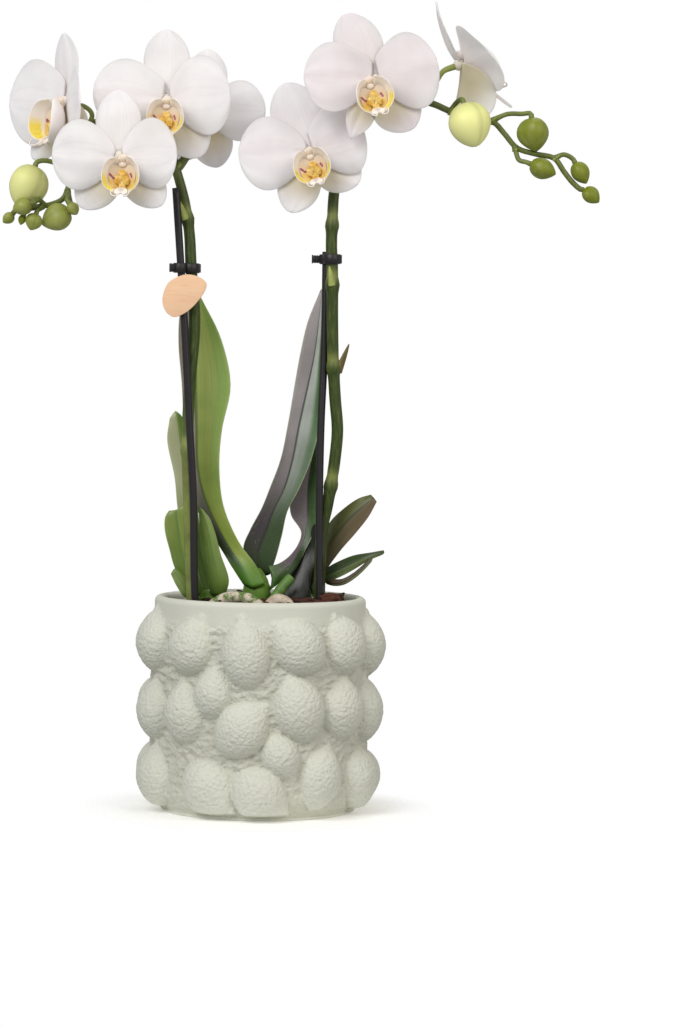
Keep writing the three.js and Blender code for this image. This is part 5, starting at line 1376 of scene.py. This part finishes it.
def column(name, bloom, material):
    """The column in the top of the lip: a short fleshy hood over the small anther cap."""
    bm = fresh_mesh()

    def radius_at(along, angle):
        wings = 1 + 0.15 * math.cos(2 * angle) * smoothstep(along, 0.3, 0.8)
        return (2.2 + 0.5 * smoothstep(along, 0.2, 0.75)) * wings

    tube(bm, [(0, 2.2, -0.5), (0, 2.0, 2.2), (0, 1.2, 4.2), (0, 0.2, 5.4)], radius_at, 28, 24, (0.04, 0.3),
         lambda along: smoothstep(along, 0.5, 0.95))
    lump(bm, (0, -1.0, 4.7), (1.9, 1.4, 0.9), 0.3, detail=3)
    bmesh.ops.transform(bm, matrix=lip_frame(bloom), verts=bm.verts)
    finish_piece(name, bm, material, "petal_white")


def ear_surface(side):
    arc = [Vector((side * x, y, 0)) for x, y in EAR_ARC]

    def surface(across, along):
        along = min(max(along, 0.0), 1.0)
        point = curve_point(arc, along)
        forward = (across + 1) / 2
        flare = 0.58 + 0.42 * math.sqrt(max(forward, 0.0)) - 0.05 * forward ** 5
        reach = 8.5 * math.sin(math.pi * (0.12 + 0.7 * along)) ** 0.8
        wave = 0.35 * math.sin(9 * along + side) * forward
        return Vector((point.x * flare, -6.3 + (point.y + 6.3) * flare + wave, 4.6 + reach * forward))

    return surface


def throat_surface(across, along):
    """The inner wall of the lip behind its side lobes."""
    half = 6.6 * max(math.sin(math.pi * (0.14 + 0.72 * along)), 0.0) ** 0.6
    return Vector((across * half, 2.4 - 16.6 * along, 3.4 + 1.4 * along + 2.4 * across * across))


def tongue_surface(side):
    def surface(across, along):
        half = 0.7 + 1.6 * math.sin(math.pi * (0.1 + 0.8 * along))
        return Vector((side * 1.7 * along + across * half, -12.2 - 3.6 * along + 0.5 * across * across,
                       6.6 + 6.4 * along - 2.2 * along ** 3))

    return surface


def mark_at(point):
    """How strongly the purple marks colour this place of the lip's inside, from 0 to 1."""
    strength = 0.0
    for route, half in LIP_MARKS:
        for start, end in zip(route, route[1:]):
            start, end = Vector(start), Vector(end)
            share = (point - start).dot(end - start) / (end - start).length_squared
            away = (point - start.lerp(end, min(max(share, 0.0), 1.0))).length
            strength = max(strength, 1 - away / half)
    return strength * (1 + 0.4 * noise.noise(point.to_3d() * 1.1))


def lips(settings):
    material = orchid_lip(settings)
    for name, bloom in BLOOMS.items():
        bm = fresh_mesh()
        mark = bm.verts.layers.float.new("mark")
        for side in (1, -1):
            blade(bm, ear_surface(side), lambda across, along: 0.95 * rounded(along, 0.12), 30, 38, side)
            blade(bm, tongue_surface(side), lambda across, along: 1.2 * rounded(along, 0.2), 18, 14, side, 0.35)
            curl = [(side * 1.2, -15.2, 11.5), (side * 1.9, -16.4, 13.4), (side * 3.4, -16.2, 14.6),
                    (side * 4.4, -14.6, 13.8), (side * 3.8, -13.6, 12.6)]
            tube(bm, curl, lambda along, angle: 0.42 - 0.22 * along, 8, 22, (0.02, 0.04), lambda along: 0.35)
        for vert in blade(bm, throat_surface, lambda across, along: 0.9 * rounded(along, 0.1), 84, 46, 1, 0.6):
            vert[mark] = mark_at(vert.co.xy)
        for middle, radii in CALLUS:
            lump(bm, middle, radii, 1.0, roughness=0.5, detail=3)
        bmesh.ops.transform(bm, matrix=lip_frame(bloom), verts=bm.verts)
        node = name.replace("bloom", "lip")
        finish_piece(f"{node}_lobes", bm, material, "lip_yellow", node)


def buds(settings):
    material = bud_skin(settings)
    for number, (name, (foot, tip, width, ripeness)) in enumerate(BUDS.items()):
        first = number * SEAM_STEP or FIRST_SEAM
        seams = [first + k * FULL_TURN / 3 for k in range(3)]

        def seam_at(angle):
            nearest = min(abs((angle - seam + math.pi) % FULL_TURN - math.pi) for seam in seams)
            return math.exp(-(nearest / 0.16) ** 2)

        def radius_at(along, angle):
            swell = max(math.sin(math.pi * along ** 0.82), 0.0) ** (0.48 + (0.3 - 0.18 * ripeness) * along)
            bulge = (0.06 - 0.035 * ripeness) * math.cos(3 * (angle - seams[0]) + math.pi)
            ridge = 1 + bulge - 0.02 * seam_at(angle)
            return width / 2 * swell * ridge

        bm = fresh_mesh()
        verts = tube(bm, [foot, Vector(foot).lerp(Vector(tip), 0.5), tip], radius_at, 40, 34)
        side, across, tone = [bm.verts.layers.float[trait] for trait in ("side", "across", "tone")]
        for vert in verts:
            angle = math.atan2(vert[side], vert[across])
            vert[side] = seam_at(angle) * (1 - 0.3 * ripeness)
            vert[tone] = ripeness
        finish_piece(f"{name}_sepals", bm, material, "bud_green", name)


# Flower stems

def pedicel_end(name):
    """The last two points of a pedicel: square to the back of its bloom, or in line with its bud."""
    if name in BLOOMS:
        bloom = BLOOMS[name]
        back = bloom_frame(bloom).to_3x3() @ Vector((0, 0, -1))
        return [Vector(bloom.place) + back * out for out in (9, CORE_RADIUS - 1.4)]
    foot, tip, _, _ = BUDS[name]
    back = (Vector(foot) - Vector(tip)).normalized()
    return [Vector(foot) + back * out for out in (2.2, -0.4)]


def scale_leaf(bm, foot, way, reach, width):
    """A small dry scale where a pedicel leaves the stem."""
    middle = foot + way * reach * 0.5 + Vector((0, 0, 0.3 * reach))
    tube(bm, [foot, middle, foot + way * reach + Vector((0, 0, 0.5 * reach))],
         lambda along, angle: width * (1 - along) ** 0.7 * (1 - 0.55 * abs(math.sin(angle))) + 0.08,
         10, 8, (0.0, 0.04), lambda along: 0.75)


def flower_stems(settings):
    material = living_stem("Flower stem", tuple(settings.stem), tuple(settings.stem_pale))
    for name, spike in SPIKES.items():
        _, seat = pedicel_end(spike.last)
        full = [Vector(p) for p in spike.route] + [seat]
        bm = fresh_mesh()
        probe = follow(full, [k / 200 for k in range(201)])
        marks = [min(range(201), key=lambda k: abs(probe[k][0].z - height) if k < 140 else 999) / 200
                 for height in spike.rings]

        def radius_at(along, angle):
            radius = STEM.radius + (STEM.tail - STEM.radius) * smoothstep(along, 0.45, 0.9)
            for mark in marks:
                radius += 0.75 * math.exp(-((along - mark) / 0.007) ** 2)
                radius -= 0.12 * math.exp(-((along - mark - 0.012) / 0.004) ** 2)
            return radius

        def tone_at(along):
            # Painted light: the spike's pale foot tone lightens the low part of the stem, where light falls on it.
            tone = 0.3 * smoothstep(along, 0.5, 0.85) + spike.low_tone * (1 - smoothstep(along, 0.2, 0.36))
            for mark in marks:
                tone += 0.5 * math.exp(-((along - mark - 0.012) / 0.008) ** 2)
            return min(tone, 1.0)

        tube(bm, full, radius_at, STEM.around, STEM.steps, (0.004, 0.0), tone_at)
        for points, width, dryness in spike.bracts:
            tube(bm, points,
                 lambda along, angle: width * (1 - along) ** 0.7 * (1 - 0.45 * abs(math.sin(angle))) + 0.15,
                 16, 20, (0.06, 0.05), lambda along: dryness)
        for end, way in spike.pedicels.items():
            points = [Vector(p) for p in way] + pedicel_end(end)
            bloom_end = end in BLOOMS

            def thick(along, angle):
                swell = 0.35 * smoothstep(along, 0.6, 1.0) if bloom_end else 0.15 * smoothstep(along, 0.8, 1.0)
                branch = 1.3 if end == PEDICEL.thick else 0.5
                return PEDICEL.radius * (1 + swell) + branch * math.exp(-(along / 0.16) ** 2)

            tube(bm, points, thick, PEDICEL.around, PEDICEL.steps, (0.02, 0.0),
                 lambda along: (0.85 if end in PEDICEL.pale else 0.3) + 0.15 * along)
            way_out = (points[1] - points[0]).normalized()
            scale_leaf(bm, points[0] - Vector((0, 0, 1.2)), (way_out + Vector((0, -0.6, 0))).normalized(), 3.6, 1.9)
        finish_piece(f"{name}_stems", bm, material, "stem", name)


# The stage

def aimed(obj, place, target, roll=0.0):
    obj.location = place
    turn = (Vector(target) - Vector(place)).to_track_quat("-Z", "Y").to_matrix().to_4x4()
    obj.matrix_world = Matrix.Translation(place) @ turn @ Matrix.Rotation(math.radians(roll), 4, "Z")
    bpy.context.scene.collection.objects.link(obj)


def stage(settings):
    scene = bpy.context.scene
    for old in [o for o in scene.objects if o.type in ("CAMERA", "LIGHT") or o.name == "Cube"]:
        bpy.data.objects.remove(old)
    lens = bpy.data.cameras.new("Camera")
    lens.lens = VIEW.lens
    lens.sensor_width = 36
    camera = bpy.data.objects.new("Camera", lens)
    aimed(camera, VIEW.camera, VIEW.aim, VIEW.roll)
    scene.camera = camera
    for name, place, size, power, tint in (
        ("Key light", (-0.75, -1.3, 1.25), 1.2, settings.key_power, (1, 1, 1)),
        ("Fill light", (1.1, -1.1, 1.0), 1.4, settings.fill_power, (1, 0.94, 0.85)),
        ("Back light", (0.3, 1.4, 1.3), 1.2, settings.fill_power * 0.4, (1, 0.97, 0.92)),
    ):
        lamp = bpy.data.lights.new(name, "AREA")
        lamp.shape = "DISK"
        lamp.size = size
        lamp.energy = power
        lamp.color = tint
        aimed(bpy.data.objects.new(name, lamp), place, (0, 0, 0.2))
    world = bpy.data.worlds.new("Studio")
    scene.world = world
    world.use_nodes = True
    tree = world.node_tree
    seen = add(tree, "LightPath").outputs["Is Camera Ray"]
    strength = add(tree, "MapRange", {"Value": seen, "To Min": settings.ambient, "To Max": 1.0}).outputs[0]
    backdrop = tree.nodes["Background"]
    backdrop.inputs["Color"].default_value = (1, 1, 1, 1)
    tree.links.new(strength, backdrop.inputs["Strength"])
    bm = bmesh.new()
    bmesh.ops.create_circle(bm, cap_ends=True, radius=FLOOR.radius, segments=96)
    mesh = bpy.data.meshes.new("Floor")
    bm.to_mesh(mesh)
    bm.free()
    mesh.materials.append(studio_floor(settings))
    floor = bpy.data.objects.new("Floor", mesh)
    scene.collection.objects.link(floor)
    scene.view_settings.view_transform = "Standard"


# Operators

class OrchidOperator:
    """Shared by every operator here: runs its makers with its group of settings."""
    bl_options = {"REGISTER", "UNDO"}
    settings = ""
    makers = ()

    def execute(self, context):
        for maker in self.makers:
            maker(getattr(context.scene, self.settings))
        return {"FINISHED"}


class ORCHID_OT_stage(OrchidOperator, bpy.types.Operator):
    """Set the floor, the lights and the camera"""
    bl_idname = "orchid.stage"
    bl_label = "Stage"
    settings = "orchid_stage"
    makers = (stage,)


class ORCHID_OT_cover_pot(OrchidOperator, bpy.types.Operator):
    """Make the ceramic cover pot with its lemons in relief"""
    bl_idname = "orchid.cover_pot"
    bl_label = "Cover pot"
    settings = "orchid_pot"
    makers = (cover_pot,)


class ORCHID_OT_nursery_pot(OrchidOperator, bpy.types.Operator):
    """Make the thin nursery pot inside the cover pot"""
    bl_idname = "orchid.nursery_pot"
    bl_label = "Nursery pot"
    settings = "orchid_pot"
    makers = (nursery_pot,)


class ORCHID_OT_bark(OrchidOperator, bpy.types.Operator):
    """Fill the nursery pot with bark chips"""
    bl_idname = "orchid.bark"
    bl_label = "Bark"
    settings = "orchid_pot"
    makers = (bark,)


class ORCHID_OT_supports(OrchidOperator, bpy.types.Operator):
    """Make the stakes, the clips and the bare wooden tag"""
    bl_idname = "orchid.supports"
    bl_label = "Stakes, clips and tag"
    settings = "orchid_fittings"
    makers = (stakes, clips, tag)


class ORCHID_OT_roots(OrchidOperator, bpy.types.Operator):
    """Lay the aerial roots over the bark"""
    bl_idname = "orchid.roots"
    bl_label = "Roots"
    settings = "orchid_fittings"
    makers = (roots,)


class ORCHID_OT_crowns(OrchidOperator, bpy.types.Operator):
    """Make the crowns and the cut stub of the old flower stem"""
    bl_idname = "orchid.crowns"
    bl_label = "Crowns"
    settings = "orchid_green"
    makers = (crowns, old_stem)


class ORCHID_OT_leaves(OrchidOperator, bpy.types.Operator):
    """Make every leaf"""
    bl_idname = "orchid.leaves"
    bl_label = "Leaves"
    settings = "orchid_green"
    makers = (leaves,)


class ORCHID_OT_stems(OrchidOperator, bpy.types.Operator):
    """Make the two flower stems with their pedicels and bracts"""
    bl_idname = "orchid.stems"
    bl_label = "Flower stems"
    settings = "orchid_green"
    makers = (flower_stems,)


class ORCHID_OT_buds(OrchidOperator, bpy.types.Operator):
    """Make the buds at the ends of the flower stems"""
    bl_idname = "orchid.buds"
    bl_label = "Buds"
    settings = "orchid_green"
    makers = (buds,)


class ORCHID_OT_blooms(OrchidOperator, bpy.types.Operator):
    """Make the petals, sepals and column of every bloom"""
    bl_idname = "orchid.blooms"
    bl_label = "Blooms"
    settings = "orchid_flowers"
    makers = (blooms,)


class ORCHID_OT_lips(OrchidOperator, bpy.types.Operator):
    """Make the lip of every bloom"""
    bl_idname = "orchid.lips"
    bl_label = "Lips"
    settings = "orchid_flowers"
    makers = (lips,)


OPERATORS = (
    ORCHID_OT_stage, ORCHID_OT_cover_pot, ORCHID_OT_nursery_pot, ORCHID_OT_bark, ORCHID_OT_supports, ORCHID_OT_roots,
    ORCHID_OT_crowns, ORCHID_OT_leaves, ORCHID_OT_stems, ORCHID_OT_buds, ORCHID_OT_blooms, ORCHID_OT_lips,
)
SETTINGS = {
    "orchid_pot": OrchidPotSettings,
    "orchid_flowers": OrchidFlowerSettings,
    "orchid_green": OrchidGreenSettings,
    "orchid_fittings": OrchidFittingSettings,
    "orchid_stage": OrchidStageSettings,
}


class ORCHID_PT_panel(bpy.types.Panel):
    """Lists the orchid's settings and the pieces that it is made of"""
    bl_label = "Potted Moth Orchid"
    bl_space_type = "VIEW_3D"
    bl_region_type = "UI"
    bl_category = "Orchid"

    def draw(self, context):
        for operator in OPERATORS:
            self.layout.operator(operator.bl_idname)
        for group in SETTINGS:
            box = self.layout.box()
            settings = getattr(context.scene, group)
            for name in settings.__annotations__:
                box.prop(settings, name)


def register():
    for group, kind in SETTINGS.items():
        bpy.utils.register_class(kind)
        setattr(bpy.types.Scene, group, bpy.props.PointerProperty(type=kind))
    for kind in (*OPERATORS, ORCHID_PT_panel):
        bpy.utils.register_class(kind)


def unregister():
    for kind in reversed((*OPERATORS, ORCHID_PT_panel)):
        bpy.utils.unregister_class(kind)
    for group, kind in SETTINGS.items():
        delattr(bpy.types.Scene, group)
        bpy.utils.unregister_class(kind)


def main():
    register()
    bpy.ops.orchid.stage()
    bpy.ops.orchid.cover_pot()
    bpy.ops.orchid.nursery_pot()
    bpy.ops.orchid.bark()
    bpy.ops.orchid.supports()
    bpy.ops.orchid.roots()
    bpy.ops.orchid.crowns()
    bpy.ops.orchid.leaves()
    bpy.ops.orchid.stems()
    bpy.ops.orchid.buds()
    bpy.ops.orchid.blooms()
    bpy.ops.orchid.lips()


if __name__ == "__main__":
    main()
